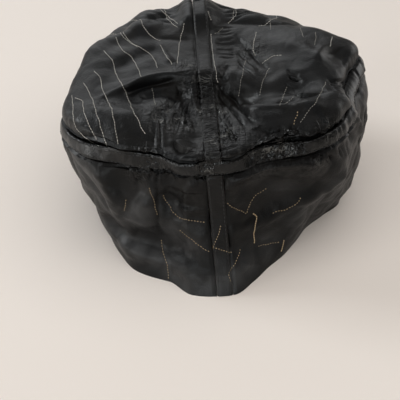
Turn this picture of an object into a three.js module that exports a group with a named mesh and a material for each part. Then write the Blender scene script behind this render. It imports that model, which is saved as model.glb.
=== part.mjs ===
// A soft leather flat cap, standing on its rim as it lies on a table.
// Millimetres, +Z up, the peak towards -Y and the back seam towards +Y. The wearer's left is +X.
//
// The crown is two panels joined by a flat strip along the middle. Two side panels run from the
// back strip round to the corners of the peak, and flat strips lie along under the crown's edge,
// from the middle of the back. Every panel is a wall of leather, open where the head goes in.

import * as THREE from "three";

// Leather, seams and strips.
const WALL = 2.2;
const HEM = { wall: 3, height: 9 };
const SEAM_GAP = 0.3;
const STRIP_WIDTH = 11.5;
const STRIP_PROUD = 0.5;
const LEATHER = { color: 0x1b1c1e, roughness: 0.46, metalness: 0 };
const STRIP_LEATHER = { color: 0x17181a, roughness: 0.42, metalness: 0 };

// The crown's middle, which the section tables are counted from.
const MIDDLE_Y = -5;
const MIDDLE_Z = 121;

// Where the side panels end and the peak begins, in degrees round from the back seam.
const CORNER_TURN = 128;

// The peak: a stiff crescent from the front of the rim out to its own edge. It reaches frontReach
// from the cap's middle at the front and endReach at its corners, and hangs under the crown.
const PEAK = { frontReach: 158, endReach: 86, bow: 0.9, thickness: 4, droop: 21, gap: 0.6, middle: 0.125 };

// The crown's section: how full its dome is, and the shares of the way down at which its shoulder
// turns over and its folds begin to die away.
const DOME = { fullness: 0.85, shoulder: 0.6, fade: 0.8 };

// The side panel's swell, highest a little under its top, and the share of its height within which
// its folds die away at both edges.
const SWELL = { size: 2.8, lift: 1.2, fade: 0.2 };

// Within these shares of its section, a wall turns to lean as its neighbour does.
const CROWN_HOLD = { top: 0.2, bottom: 0.85 };
const SIDE_HOLD = { bottom: 0.08, top: 0.9 };

// Sections round each half of the cap, one row for each, from the back seam (turn 0) to the
// middle of the front (turn 180).
//   reach     the crown's fullest distance from its middle, in plan
//   tuck      how far the crown's lower edge draws in from there
//   edge      height of the crown's lower edge, where the strip begins
//   shoulder  height of the crown's top towards its rim
//   round     how round the shoulder is: 0.2 is square, 0.6 is round
//   rim       distance of the head opening's rim, in plan
//   flare     how late the wall spreads out to the rim: 1 all the way down, 4 near the rim
//   belly     how far the side panel swells out under the strip
const LEFT_SECTIONS = [
  { turn: 0, reach: 112, tuck: 3, edge: 110, shoulder: 121, round: 0.5, rim: 129, flare: 3, belly: 0 },
  { turn: 8, reach: 112, tuck: 3, edge: 110, shoulder: 121, round: 0.5, rim: 127, flare: 3, belly: 0 },
  { turn: 18, reach: 106, tuck: 3, edge: 110, shoulder: 121, round: 0.5, rim: 115, flare: 4, belly: 0 },
  { turn: 32, reach: 110, tuck: 3, edge: 110, shoulder: 122, round: 0.5, rim: 113, flare: 4, belly: -2 },
  { turn: 45, reach: 111, tuck: 3, edge: 109, shoulder: 123, round: 0.5, rim: 105, flare: 1.5, belly: 1 },
  { turn: 60, reach: 113, tuck: 3, edge: 107, shoulder: 124, round: 0.5, rim: 97, flare: 1.2, belly: 6 },
  { turn: 72, reach: 110, tuck: 2, edge: 105, shoulder: 126, round: 0.5, rim: 92, flare: 1.2, belly: 7 },
  { turn: 84, reach: 102, tuck: 2, edge: 102, shoulder: 129, round: 0.44, rim: 85, flare: 1.2, belly: 8 },
  { turn: 96, reach: 100, tuck: 3, edge: 94, shoulder: 132, round: 0.34, rim: 79, flare: 1.2, belly: 8 },
  { turn: 110, reach: 106, tuck: 13, edge: 66, shoulder: 137, round: 0.36, rim: 76, flare: 1, belly: 4 },
  { turn: 128, reach: 118, tuck: 38, edge: 19, shoulder: 140, round: 0.38, rim: 76, flare: 1, belly: 0 },
  { turn: 152, reach: 127, tuck: 27, edge: 25, shoulder: 140, round: 0.4, rim: 76, flare: 1, belly: 0 },
  { turn: 180, reach: 131, tuck: 23, edge: 27, shoulder: 138, round: 0.41, rim: 76, flare: 1, belly: 0 },
];
const RIGHT_SECTIONS = [
  { turn: 0, reach: 112, tuck: 3, edge: 110, shoulder: 121, round: 0.5, rim: 129, flare: 3, belly: 0 },
  { turn: 8, reach: 108, tuck: 2, edge: 110, shoulder: 121, round: 0.5, rim: 118, flare: 3, belly: 0 },
  { turn: 16, reach: 104, tuck: 2, edge: 111, shoulder: 121, round: 0.5, rim: 107, flare: 2, belly: 1 },
  { turn: 24, reach: 106, tuck: 1, edge: 111, shoulder: 121, round: 0.5, rim: 101, flare: 1.4, belly: 2 },
  { turn: 34, reach: 114, tuck: 1, edge: 111, shoulder: 122, round: 0.5, rim: 94, flare: 1.2, belly: 5 },
  { turn: 46, reach: 116, tuck: 1, edge: 111, shoulder: 123, round: 0.5, rim: 89, flare: 1.2, belly: 7 },
  { turn: 58, reach: 111, tuck: 1, edge: 110, shoulder: 124, round: 0.5, rim: 93, flare: 1.2, belly: 10 },
  { turn: 70, reach: 101, tuck: 1, edge: 110, shoulder: 125, round: 0.48, rim: 101, flare: 1.2, belly: 17 },
  { turn: 82, reach: 103, tuck: 1, edge: 108, shoulder: 128, round: 0.42, rim: 97, flare: 1.2, belly: 18 },
  { turn: 96, reach: 115, tuck: 1, edge: 109, shoulder: 130, round: 0.42, rim: 86, flare: 1.2, belly: 8 },
  { turn: 112, reach: 115, tuck: 13, edge: 66, shoulder: 135, round: 0.36, rim: 79, flare: 1, belly: 3 },
  { turn: 128, reach: 118, tuck: 38, edge: 19, shoulder: 137, round: 0.38, rim: 76, flare: 1, belly: 0 },
  { turn: 152, reach: 124, tuck: 24, edge: 25, shoulder: 134, round: 0.4, rim: 76, flare: 1, belly: 0 },
  { turn: 180, reach: 131, tuck: 23, edge: 27, shoulder: 138, round: 0.41, rim: 76, flare: 1, belly: 0 },
];

// Folds and dents of the crown, one row for each, in plan with the middle seam on x = 0. Each
// runs from one place to another and rises or sinks by so much, over its width to either side.
const CROWN_FOLDS = [
  { from: [8, 8], to: [54, 22], width: 10, rise: 5 },
  { from: [14, 20], to: [46, 28], width: 9, rise: -6 },
  { from: [18, 22], to: [30, 20], width: 10, rise: -3 },
  { from: [45, 66], to: [84, 52], width: 16, rise: 4 },
  { from: [2, 34], to: [4, 82], width: 13, rise: -6 },
  { from: [-8, 28], to: [-60, 36], width: 11, rise: -7 },
  { from: [-26, 62], to: [-84, 60], width: 13, rise: 5 },
  { from: [-8, 20], to: [-24, 70], width: 9, rise: -4 },
  { from: [-20, -32], to: [-40, 14], width: 9, rise: -3 },
  { from: [36, -98], to: [48, -72], width: 14, rise: 5 },
  { from: [3, -68], to: [3, -104], width: 10, rise: 8 },
  { from: [84, -36], to: [78, -46], width: 10, rise: 3 },
  { from: [62, -66], to: [54, -74], width: 9, rise: -3.5 },
  { from: [-52, -68], to: [-68, -56], width: 10, rise: -2.5 },
];

// Folds of the side panels, as measured along the wall round from the back seam, where the left
// side counts up and the right side down, and up from the table.
const SIDE_FOLDS = [
  { from: [18, 96], to: [30, 70], width: 11, rise: -4 },
  { from: [95, 95], to: [70, 40], width: 14, rise: 4 },
  { from: [24, 36], to: [84, 30], width: 13, rise: -4 },
  { from: [-20, 84], to: [-70, 90], width: 12, rise: 4 },
  { from: [-14, 60], to: [-60, 66], width: 16, rise: -4 },
  { from: [-96, 70], to: [-116, 18], width: 14, rise: 5 },
];

const SIDES = {
  left: { sign: 1, sections: LEFT_SECTIONS },
  right: { sign: -1, sections: RIGHT_SECTIONS },
};

// How finely each wall is cut into facets.
const SIDE_STEPS = 20;
const FRONT_STEPS = 8;
const CROWN_RINGS = 14;
const SIDE_ROWS = 9;
const STRIP_STEPS = 2;
const PEAK_STEPS = 24;
const PEAK_RINGS = 6;

// How finely a section is measured, and how near to each other two points count as one.
const FINE_STEPS = 150;
const SLOPE_STEP = 0.01;
const SAME_POINT = 1e-4;

const radians = (degrees) => (degrees * Math.PI) / 180;
const mix = (a, b, share) => a + (b - a) * share;

function steps(count, from = 0, to = 1) {
  return Array.from({ length: count + 1 }, (_, i) => mix(from, to, i / count));
}

const SIDE_TURNS = steps(SIDE_STEPS, 0, CORNER_TURN);

function smooth(value, from, to) {
  const share = Math.min(1, Math.max(0, (value - from) / (to - from)));
  return share * share * (3 - 2 * share);
}

// A column of a section table at any turn: a cubic through its rows that never swings past them.
function columnAt(rows, column, turn) {
  const rise = (k) => (rows[k + 1][column] - rows[k][column]) / (rows[k + 1].turn - rows[k].turn);
  const slopeAt = (k) => {
    if (k === 0 || k === rows.length - 1) return 0;
    const [before, after] = [rise(k - 1), rise(k)];
    return before * after <= 0 ? 0 : (2 * before * after) / (before + after);
  };
  const next = rows.findIndex((row) => row.turn > turn);
  const i = next < 0 ? rows.length - 2 : next - 1;
  const span = rows[i + 1].turn - rows[i].turn;
  const t = (turn - rows[i].turn) / span;
  const start = (1 + 2 * t) * (1 - t) ** 2 * rows[i][column] + t * (1 - t) ** 2 * span * slopeAt(i);
  return start + t * t * (3 - 2 * t) * rows[i + 1][column] - t * t * (1 - t) * span * slopeAt(i + 1);
}

// How far the folds of a table raise a surface at a place on it.
function foldRise(folds, x, y) {
  const place = new THREE.Vector2(x, y);
  return folds.reduce((sum, { from, to, width, rise }) => {
    const start = new THREE.Vector2(...from);
    const along = new THREE.Vector2(...to).sub(start);
    const share = place.clone().sub(start).dot(along) / along.lengthSq();
    const nearest = start.addScaledVector(along, Math.min(1, Math.max(0, share)));
    return sum + rise * Math.exp(-((place.distanceTo(nearest) / width) ** 2));
  }, 0);
}

// A section of the crown in its own upright plane: x is the distance from the cap's middle.
// Share 0 is the middle and share 1 the crown's lower edge.
function crownSection(side, turn, share) {
  const at = (column) => columnAt(side.sections, column, turn);
  const swing = (share * Math.PI) / 2;
  const drawnIn = at("tuck") * smooth(share, DOME.shoulder, 1);
  const distance = at("reach") * Math.sin(swing) ** DOME.fullness - drawnIn;
  const top = mix(MIDDLE_Z, at("shoulder"), smooth(share, 0, DOME.shoulder));
  const angle = radians(turn);
  const plan = [side.sign * Math.sin(angle) * distance, MIDDLE_Y + Math.cos(angle) * distance];
  const fold = foldRise(CROWN_FOLDS, ...plan) * (1 - smooth(share, DOME.fade, 1));
  const z = mix(at("edge"), top, Math.max(0, Math.cos(swing)) ** at("round"));
  return new THREE.Vector2(distance, z + fold);
}

// A section of the side panel and strip: share 0 is the rim and share 1 the crown's edge.
function sideSection(side, turn, share) {
  const at = (column) => columnAt(side.sections, column, turn);
  const lean = mix(at("reach") - at("tuck"), at("rim"), (1 - share) ** at("flare"));
  const swell = at("belly") * SWELL.size * share ** SWELL.lift * Math.sqrt(Math.max(0, 1 - share));
  const round = side.sign * radians(turn) * at("reach");
  const z = at("edge") * share;
  const kept = smooth(share, 0, SWELL.fade) * smooth(1 - share, 0, SWELL.fade);
  return new THREE.Vector2(lean + swell + foldRise(SIDE_FOLDS, round, z) * kept, z);
}

// Lengths along a section from its start, at even shares.
function sectionLengths(section, side, turn) {
  const places = steps(FINE_STEPS).map((share) => section(side, turn, share));
  let length = 0;
  return places.map((place, i) => (length += i ? place.distanceTo(places[i - 1]) : 0));
}

// The share of a section that lies at a length along it.
function shareAt(lengths, length) {
  const next = Math.max(1, lengths.findIndex((value) => value >= length));
  const within = (length - lengths[next - 1]) / (lengths[next] - lengths[next - 1]);
  return (next - 1 + within) / FINE_STEPS;
}

// Shares of a section from one length along it to another, in even lengths. A start below zero
// is counted back from the end.
function evenShares(section, side, turn, count, startLength = 0, endGap = 0) {
  const lengths = sectionLengths(section, side, turn);
  const end = lengths[FINE_STEPS] - endGap;
  const from = startLength < 0 ? end + startLength : startLength;
  return steps(count, from, end).map((length) => shareAt(lengths, Math.min(length, lengths[FINE_STEPS])));
}

// A section's point in the cap, with the way out of the wall there. The wall keeps its own slope
// where hold is 0. Where hold is 1 it leans as its neighbour does: up (lean 1) or sideways (0).
function skinPoint(side, turn, share, section, hold, neighbourLean) {
  const at = section(side, turn, share);
  const ahead = section(side, turn, Math.min(1, share + SLOPE_STEP));
  const behind = section(side, turn, Math.max(0, share - SLOPE_STEP));
  const sense = section === crownSection ? 1 : -1;
  const own = Math.atan2(sense * (ahead.x - behind.x), sense * (behind.y - ahead.y));
  const lean = mix(own, (neighbourLean * Math.PI) / 2, hold);
  const angle = radians(turn);
  const apart = STRIP_WIDTH / 2 + SEAM_GAP;
  return {
    point: new THREE.Vector3(
      side.sign * (Math.sin(angle) * at.x + apart),
      MIDDLE_Y + Math.cos(angle) * at.x,
      at.y,
    ),
    out: new THREE.Vector3(
      side.sign * Math.sin(angle) * Math.cos(lean),
      Math.cos(angle) * Math.cos(lean),
      Math.sin(lean),
    ),
    wall: WALL,
  };
}

function crownPoint(side, turn, share) {
  const hold = 1 - smooth(share, 0, CROWN_HOLD.top) + smooth(share, CROWN_HOLD.bottom, 1);
  return skinPoint(side, turn, share, crownSection, hold, share < 0.5 ? 1 : 0);
}

// The side wall is thicker at its hem.
function sidePoint(side, turn, share) {
  const hold = 1 - smooth(share, 0, SIDE_HOLD.bottom) + smooth(share, SIDE_HOLD.top, 1);
  const skin = skinPoint(side, turn, share, sideSection, hold, 0);
  skin.wall = mix(HEM.wall, WALL, smooth(skin.point.z, HEM.height / 2, HEM.height));
  return skin;
}

// A strip lies a little proud of the panels, and as deep as they are.
function raised(skin, x = skin.point.x) {
  const point = skin.point.clone().addScaledVector(skin.out, STRIP_PROUD);
  point.x += x - skin.point.x;
  return { point, out: skin.out, wall: skin.wall + STRIP_PROUD };
}

// A closed wall from a grid of outer points, each with its way out and the wall's thickness
// there. Rows may share a point.
function wallGeometry(grid) {
  const rows = grid.length;
  const columns = grid[0].length;
  const outer = (i, j) => grid[i][j].point;
  const inner = (i, j) => outer(i, j).clone().addScaledVector(grid[i][j].out, -grid[i][j].wall);
  const triangles = [];
  const addQuad = (a, b, c, d) => {
    // The shorter diagonal, so that a fold keeps its line.
    const faces =
      a.distanceTo(c) <= b.distanceTo(d)
        ? [[a, b, c], [a, c, d]]
        : [[a, b, d], [b, c, d]];
    for (const face of faces) {
      const [p, q, r] = face;
      const shortest = Math.min(p.distanceTo(q), q.distanceTo(r), r.distanceTo(p));
      if (shortest > SAME_POINT) triangles.push(...face);
    }
  };
  for (let i = 0; i + 1 < rows; i++) {
    for (let j = 0; j + 1 < columns; j++) {
      addQuad(outer(i, j), outer(i + 1, j), outer(i + 1, j + 1), outer(i, j + 1));
      addQuad(inner(i, j), inner(i, j + 1), inner(i + 1, j + 1), inner(i + 1, j));
    }
  }
  for (let j = 0; j + 1 < columns; j++) {
    const far = rows - 1;
    addQuad(outer(0, j), outer(0, j + 1), inner(0, j + 1), inner(0, j));
    addQuad(outer(far, j + 1), outer(far, j), inner(far, j), inner(far, j + 1));
  }
  for (let i = 0; i + 1 < rows; i++) {
    const far = columns - 1;
    addQuad(outer(i + 1, 0), outer(i, 0), inner(i, 0), inner(i + 1, 0));
    addQuad(outer(i, far), outer(i + 1, far), inner(i + 1, far), inner(i, far));
  }
  return facingOut(new THREE.BufferGeometry().setFromPoints(triangles));
}

// The same triangles with their faces pointing out of the solid.
function facingOut(geometry) {
  const position = geometry.getAttribute("position");
  const [a, b, c] = [new THREE.Vector3(), new THREE.Vector3(), new THREE.Vector3()];
  let volume = 0;
  for (let i = 0; i < position.count; i += 3) {
    a.fromBufferAttribute(position, i);
    b.fromBufferAttribute(position, i + 1);
    c.fromBufferAttribute(position, i + 2);
    volume += a.dot(b.cross(c)) / 6;
  }
  if (volume < 0) {
    for (let i = 0; i < position.count; i += 3) {
      b.fromBufferAttribute(position, i + 1);
      c.fromBufferAttribute(position, i + 2);
      position.setXYZ(i + 1, c.x, c.y, c.z);
      position.setXYZ(i + 2, b.x, b.y, b.z);
    }
  }
  geometry.computeVertexNormals();
  return geometry;
}

function leatherMesh(name, geometry, look = LEATHER) {
  const mesh = new THREE.Mesh(geometry, new THREE.MeshStandardMaterial(look));
  mesh.name = name;
  return mesh;
}

// One half of the crown: a fan of sections from its middle to its lower edge.
function crownPanel(name, side) {
  const turns = [...SIDE_TURNS, ...steps(FRONT_STEPS, CORNER_TURN, 180).slice(1)];
  const grid = turns.map((turn) =>
    evenShares(crownSection, side, turn, CROWN_RINGS).map((share) => crownPoint(side, turn, share)),
  );
  return leatherMesh(name, wallGeometry(grid));
}

// One side panel: from the back strip to the corner of the peak, and from the rim to the strip.
function sidePanel(name, side) {
  const grid = SIDE_TURNS.map((turn) => {
    const shares = evenShares(sideSection, side, turn, SIDE_ROWS, 0, STRIP_WIDTH + 2 * SEAM_GAP);
    return shares.map((share) => sidePoint(side, turn, share));
  });
  return leatherMesh(name, wallGeometry(grid));
}

// The flat strip under one half of the crown's edge. The two halves meet over the back seam.
function edgeStrip(name, side) {
  const across = (turn, x) => {
    const shares = evenShares(sideSection, side, turn, STRIP_STEPS, -STRIP_WIDTH, SEAM_GAP);
    return shares.map((share) => raised(sidePoint(side, turn, share), x));
  };
  const meeting = across(0, (side.sign * SEAM_GAP) / 2);
  const grid = [meeting, ...SIDE_TURNS.map((turn) => across(turn))];
  return leatherMesh(name, wallGeometry(grid), STRIP_LEATHER);
}

// A strip across the middle of the cap, along a line of points from the sections.
function middleStrip(name, line) {
  const across = steps(STRIP_STEPS, -STRIP_WIDTH / 2, STRIP_WIDTH / 2);
  const grid = line.map((skin) => across.map((x) => raised(skin, x)));
  return leatherMesh(name, wallGeometry(grid), STRIP_LEATHER);
}

function topStrip(name) {
  const line = (turn) =>
    evenShares(crownSection, SIDES.left, turn, CROWN_RINGS).map((share) =>
      crownPoint(SIDES.left, turn, share),
    );
  return middleStrip(name, [...line(0).toReversed(), ...line(180).slice(1)]);
}

function backStrip(name) {
  const shares = evenShares(sideSection, SIDES.left, 0, SIDE_ROWS, 0, STRIP_WIDTH + 2 * SEAM_GAP);
  return middleStrip(name, shares.map((share) => sidePoint(SIDES.left, 0, share)));
}

// The peak: round from corner to corner under the crown's edge, and out to its own edge.
function peakMesh(name) {
  const up = new THREE.Vector3(0, 0, 1);
  const apart = STRIP_WIDTH / 2 + SEAM_GAP;
  const surface = (across, out) => {
    const side = across < 0 ? SIDES.right : SIDES.left;
    const turn = mix(180, CORNER_TURN + 1, Math.abs(across));
    const at = (column) => columnAt(side.sections, column, turn);
    const fullness = (1 - across * across) ** PEAK.bow;
    const inner = at("rim") - WALL;
    const outer = mix(PEAK.endReach, PEAK.frontReach, fullness);
    const underCrown = (at("reach") - at("tuck") - inner) / (outer - inner);
    const z = at("edge") - PEAK.gap - PEAK.droop * fullness * (out ** 2 - underCrown ** 2);
    const distance = mix(inner, outer, out);
    const parted = apart * Math.min(1, Math.abs(across) / PEAK.middle);
    const x = side.sign * (Math.sin(radians(turn)) * distance + parted);
    const y = MIDDLE_Y + Math.cos(radians(turn)) * distance;
    return { point: new THREE.Vector3(x, y, z), out: up, wall: PEAK.thickness };
  };
  const grid = steps(PEAK_STEPS, -1, 1).map((across) =>
    steps(PEAK_RINGS).map((out) => surface(across, out)),
  );
  return leatherMesh(name, wallGeometry(grid));
}

const pieces = new THREE.Group();
pieces.add(
  crownPanel("crown_left", SIDES.left),
  crownPanel("crown_right", SIDES.right),
  topStrip("top_seam_strip"),
  edgeStrip("edge_strip_left", SIDES.left),
  edgeStrip("edge_strip_right", SIDES.right),
  sidePanel("side_left", SIDES.left),
  sidePanel("side_right", SIDES.right),
  backStrip("back_seam_strip"),
  peakMesh("peak"),
);

// The cap's origin is the middle of its base.
const box = new THREE.Box3().setFromObject(pieces);
const middle = box.getCenter(new THREE.Vector3());
pieces.position.set(-middle.x, -middle.y, -box.min.z);
const cap = new THREE.Group().add(pieces);

export default cap;
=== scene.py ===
"""A soft black leather flat cap lying on its rim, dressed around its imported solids.

The frame is in metres, +Z up, with the peak towards -Y and the back seam towards +Y. The cap's
own sizes are in millimetres, as a cap maker gives them, and become metres in each mesh.
"""

import logging
import math
from dataclasses import dataclass, field
from enum import Enum
from typing import Any, Callable, Iterable, Sequence

import bpy
import numpy as np
from mathutils import Matrix, Vector, noise
from mathutils.bvhtree import BVHTree


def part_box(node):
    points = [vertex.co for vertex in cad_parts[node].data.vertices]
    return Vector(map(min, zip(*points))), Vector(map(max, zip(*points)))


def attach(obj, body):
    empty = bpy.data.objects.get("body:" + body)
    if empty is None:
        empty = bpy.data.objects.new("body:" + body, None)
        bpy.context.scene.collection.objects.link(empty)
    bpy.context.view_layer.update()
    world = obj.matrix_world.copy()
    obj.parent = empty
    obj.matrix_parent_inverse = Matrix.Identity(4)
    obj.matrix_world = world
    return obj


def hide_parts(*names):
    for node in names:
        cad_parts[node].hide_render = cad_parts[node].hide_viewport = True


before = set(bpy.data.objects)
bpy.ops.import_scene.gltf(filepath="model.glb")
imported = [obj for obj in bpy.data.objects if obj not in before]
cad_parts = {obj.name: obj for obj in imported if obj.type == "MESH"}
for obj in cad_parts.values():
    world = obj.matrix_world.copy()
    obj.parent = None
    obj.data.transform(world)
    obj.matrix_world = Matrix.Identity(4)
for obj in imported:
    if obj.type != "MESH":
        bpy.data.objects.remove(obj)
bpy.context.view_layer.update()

LOG = logging.getLogger("flat_cap")
MM = 0.001

Point = tuple[float, float]
Triple = tuple[float, float, float]
Colour = tuple[float, float, float, float]

# Leather, seams and strips, as in the part's source.
STRIP_WIDTH = 11.5
STRIP_PROUD = 0.5
SEAM_GAP = 0.3
APART = STRIP_WIDTH / 2 + SEAM_GAP
MIDDLE_Z = 121.0
CORNER_TURN = 128.0
REAR_RIM = 129.0

# Sections round each half of the cap, from the back seam (turn 0) to the middle of the front.
COLUMNS = ("turn", "reach", "tuck", "edge", "shoulder", "round", "rim", "flare", "belly")
LEFT_SECTIONS = (
    (0, 112, 3, 110, 121, 0.5, 129, 3, 0),
    (8, 112, 3, 110, 121, 0.5, 127, 3, 0),
    (18, 106, 3, 110, 121, 0.5, 115, 4, 0),
    (32, 110, 3, 110, 122, 0.5, 113, 4, -2),
    (45, 111, 3, 109, 123, 0.5, 105, 1.5, 1),
    (60, 113, 3, 107, 124, 0.5, 97, 1.2, 6),
    (72, 110, 2, 105, 126, 0.5, 92, 1.2, 7),
    (84, 102, 2, 102, 129, 0.44, 85, 1.2, 8),
    (96, 100, 3, 94, 132, 0.34, 79, 1.2, 8),
    (110, 106, 13, 66, 137, 0.36, 76, 1, 4),
    (128, 118, 38, 19, 140, 0.38, 76, 1, 0),
    (152, 127, 27, 25, 140, 0.4, 76, 1, 0),
    (180, 131, 23, 27, 138, 0.41, 76, 1, 0),
)
RIGHT_SECTIONS = (
    (0, 112, 3, 110, 121, 0.5, 129, 3, 0),
    (8, 108, 2, 110, 121, 0.5, 118, 3, 0),
    (16, 104, 2, 111, 121, 0.5, 107, 2, 1),
    (24, 106, 1, 111, 121, 0.5, 101, 1.4, 2),
    (34, 114, 1, 111, 122, 0.5, 94, 1.2, 5),
    (46, 116, 1, 111, 123, 0.5, 89, 1.2, 7),
    (58, 111, 1, 110, 124, 0.5, 93, 1.2, 10),
    (70, 101, 1, 110, 125, 0.48, 101, 1.2, 17),
    (82, 103, 1, 108, 128, 0.42, 97, 1.2, 18),
    (96, 115, 1, 109, 130, 0.42, 86, 1.2, 8),
    (112, 115, 13, 66, 135, 0.36, 79, 1, 3),
    (128, 118, 38, 19, 137, 0.38, 76, 1, 0),
    (152, 124, 24, 25, 134, 0.4, 76, 1, 0),
    (180, 131, 23, 27, 138, 0.41, 76, 1, 0),
)

# The solids' own folds: from and to, the width to either side, and the rise. The crown's are in
# plan from a place behind the middle of the sections, and the side panels' are along the wall
# from the back seam and up.
CHART_MIDDLE = -5.0
CROWN_FOLDS = (
    ((8, 8), (54, 22), 10, 5),
    ((14, 20), (46, 28), 9, -6),
    ((18, 22), (30, 20), 10, -3),
    ((45, 66), (84, 52), 16, 4),
    ((2, 34), (4, 82), 13, -6),
    ((-8, 28), (-60, 36), 11, -7),
    ((-26, 62), (-84, 60), 13, 5),
    ((-8, 20), (-24, 70), 9, -4),
    ((-20, -32), (-40, 14), 9, -3),
    ((36, -98), (48, -72), 14, 5),
    ((3, -68), (3, -104), 10, 8),
    ((84, -36), (78, -46), 10, 3),
    ((62, -66), (54, -74), 9, -3.5),
    ((-52, -68), (-68, -56), 10, -2.5),
)
SIDE_FOLDS = (
    ((18, 96), (30, 70), 11, -4),
    ((95, 95), (70, 40), 14, 4),
    ((24, 36), (84, 30), 13, -4),
    ((-20, 84), (-70, 90), 12, 4),
    ((-14, 60), (-60, 66), 16, -4),
    ((-96, 70), (-116, 18), 14, 5),
)

# How the crown's sections swell, and the shares of their length where they start to turn in at
# the edge and where the folds end.
CROWN_SWELL = 0.85
CROWN_TURNS_IN = 0.6
CROWN_FOLDS_END = 0.8

# How far and how low the sides belly out, and the share of their height that is free of folds
# at either end.
BELLY_FULLNESS = 2.8
BELLY_RISE = 1.2
SIDE_MARGIN = 0.2

# How many points a section is measured at before it is cut.
FINE_CUTS = 241

# The seam allowance behind the edge strips: how far in and how far on each row of it is.
LIP = ((1.4, 0.1), (2.6, 0.8), (2.8, 2.4), (2.8, 4.0))


class Half(Enum):
    """A half of the cap; the value is the sign of its side of the middle seam."""

    LEFT = 1
    RIGHT = -1


class Profile(Enum):
    """The shape of a fold across its line."""

    ROLL = "a round ridge or hollow"
    CREASE = "a sharp line that widens softly"


class Aim(Enum):
    """How a line that is drawn on the cap is given."""

    PHOTO = "pixels of the photograph, 400 by 400"
    ABOVE = "millimetres from the middle of the crown, seen from above"
    ROUND = "degrees round from the back seam, left above zero, and millimetres up"


@dataclass(frozen=True)
class PhotoView:
    """The camera at the photograph's viewing angle, and what its pixels look at.

    Attributes:
        place: where it is, in metres.
        yaw: how far it is turned from the cap's middle, in degrees.
        pitch: how far it looks down.
        roll: how far it is tilted.
        lens: its focal length, in millimetres.
        sensor: its sensor's width.
        pixels: the photograph's width and height.
    """

    place: Triple = (0.00598, 0.55205, 0.4379)
    yaw: float = 1.56
    pitch: float = 40.0
    roll: float = -6.05
    lens: float = 72.0
    sensor: float = 36.0
    pixels: int = 400

    def axes(self) -> Matrix:
        """The camera's right, up and backward directions, as the columns of a matrix."""
        yaw, pitch, roll = (math.radians(a) for a in (self.yaw, self.pitch, self.roll))
        across, down = math.cos(pitch), math.sin(pitch)
        ahead = Vector((math.sin(yaw) * across, -math.cos(yaw) * across, -down))
        level = ahead.cross(Vector((0, 0, 1))).normalized()
        above = level.cross(ahead)
        right = level * math.cos(roll) + above * math.sin(roll)
        up = above * math.cos(roll) - level * math.sin(roll)
        return Matrix((right, up, -ahead)).transposed()

    def ray(self, pixel: Point) -> tuple[Vector, Vector]:
        """The line of sight through a pixel.

        Args:
            pixel: the place in the photograph, from its upper left corner.

        Returns:
            Where the line starts, and its direction.
        """
        focal = self.lens / self.sensor * self.pixels
        middle = self.pixels / 2
        local = Vector((pixel[0] - middle, middle - pixel[1], -focal))
        return Vector(self.place), (self.axes() @ local).normalized()

    def add_camera(self) -> None:
        """Adds the camera and makes it the scene's own."""
        bpy.ops.object.camera_add(location=self.place)
        camera = bpy.context.object
        camera.name = "photo_camera"
        camera.rotation_euler = self.axes().to_euler()
        camera.data.lens = self.lens
        camera.data.sensor_width = self.sensor
        bpy.context.scene.camera = camera


VIEW = PhotoView()


def cap_middle() -> Vector:
    """The middle that the sections are counted from, at table height, from the frame."""
    strip_low, strip_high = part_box("top_seam_strip")
    back_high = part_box("back_seam_strip")[1]
    across = (strip_low.x + strip_high.x) / 2
    return Vector((across, back_high.y - (REAR_RIM + STRIP_PROUD) * MM, 0))


MIDDLE = cap_middle()


def smooth(value: np.ndarray, start: float, end: float) -> np.ndarray:
    """A soft step from 0 at start to 1 at end."""
    share = np.clip((value - start) / (end - start), 0, 1)
    return share * share * (3 - 2 * share)


def mix(a: Any, b: Any, share: Any) -> Any:
    """What lies a share of the way from a to b."""
    return a + (b - a) * share


def bell(distance: np.ndarray, width: float) -> np.ndarray:
    """A round bump: 1 at no distance, and next to nothing at twice the width."""
    return np.exp(-((distance / width) ** 2))


def near_line(places: np.ndarray, line: np.ndarray) -> tuple[np.ndarray, np.ndarray]:
    """How near each place is to a line of straight stretches.

    Args:
        places: the places, one in each row.
        line: the line's points, one in each row.

    Returns:
        Each place's distance from the line, and how far along the line it is, from 0 to 1.
    """
    lengths = np.linalg.norm(np.diff(line, axis=0), axis=1)
    passed = np.concatenate(([0], np.cumsum(lengths)))
    nearest = np.full(len(places), np.inf)
    along = np.zeros(len(places))
    for start, end, before, length in zip(line[:-1], line[1:], passed, lengths):
        way = end - start
        share = np.clip((places - start) @ way / max(length**2, 1e-12), 0, 1)
        distance = np.linalg.norm(places - start - share[:, None] * way, axis=1)
        closer = distance < nearest
        nearest = np.where(closer, distance, nearest)
        along = np.where(closer, (before + share * length) / passed[-1], along)
    return nearest, along


def fold_rise(folds: Iterable[tuple], x: np.ndarray, y: np.ndarray) -> np.ndarray:
    """How far the solids' folds raise the surface at each place of their own chart."""
    places = np.stack((x.ravel(), y.ravel()), axis=1)
    total = np.zeros(len(places))
    for start, end, width, rise in folds:
        distance, _ = near_line(places, np.array((start, end), float))
        total += rise * bell(distance, width)
    return total.reshape(x.shape)


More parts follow.
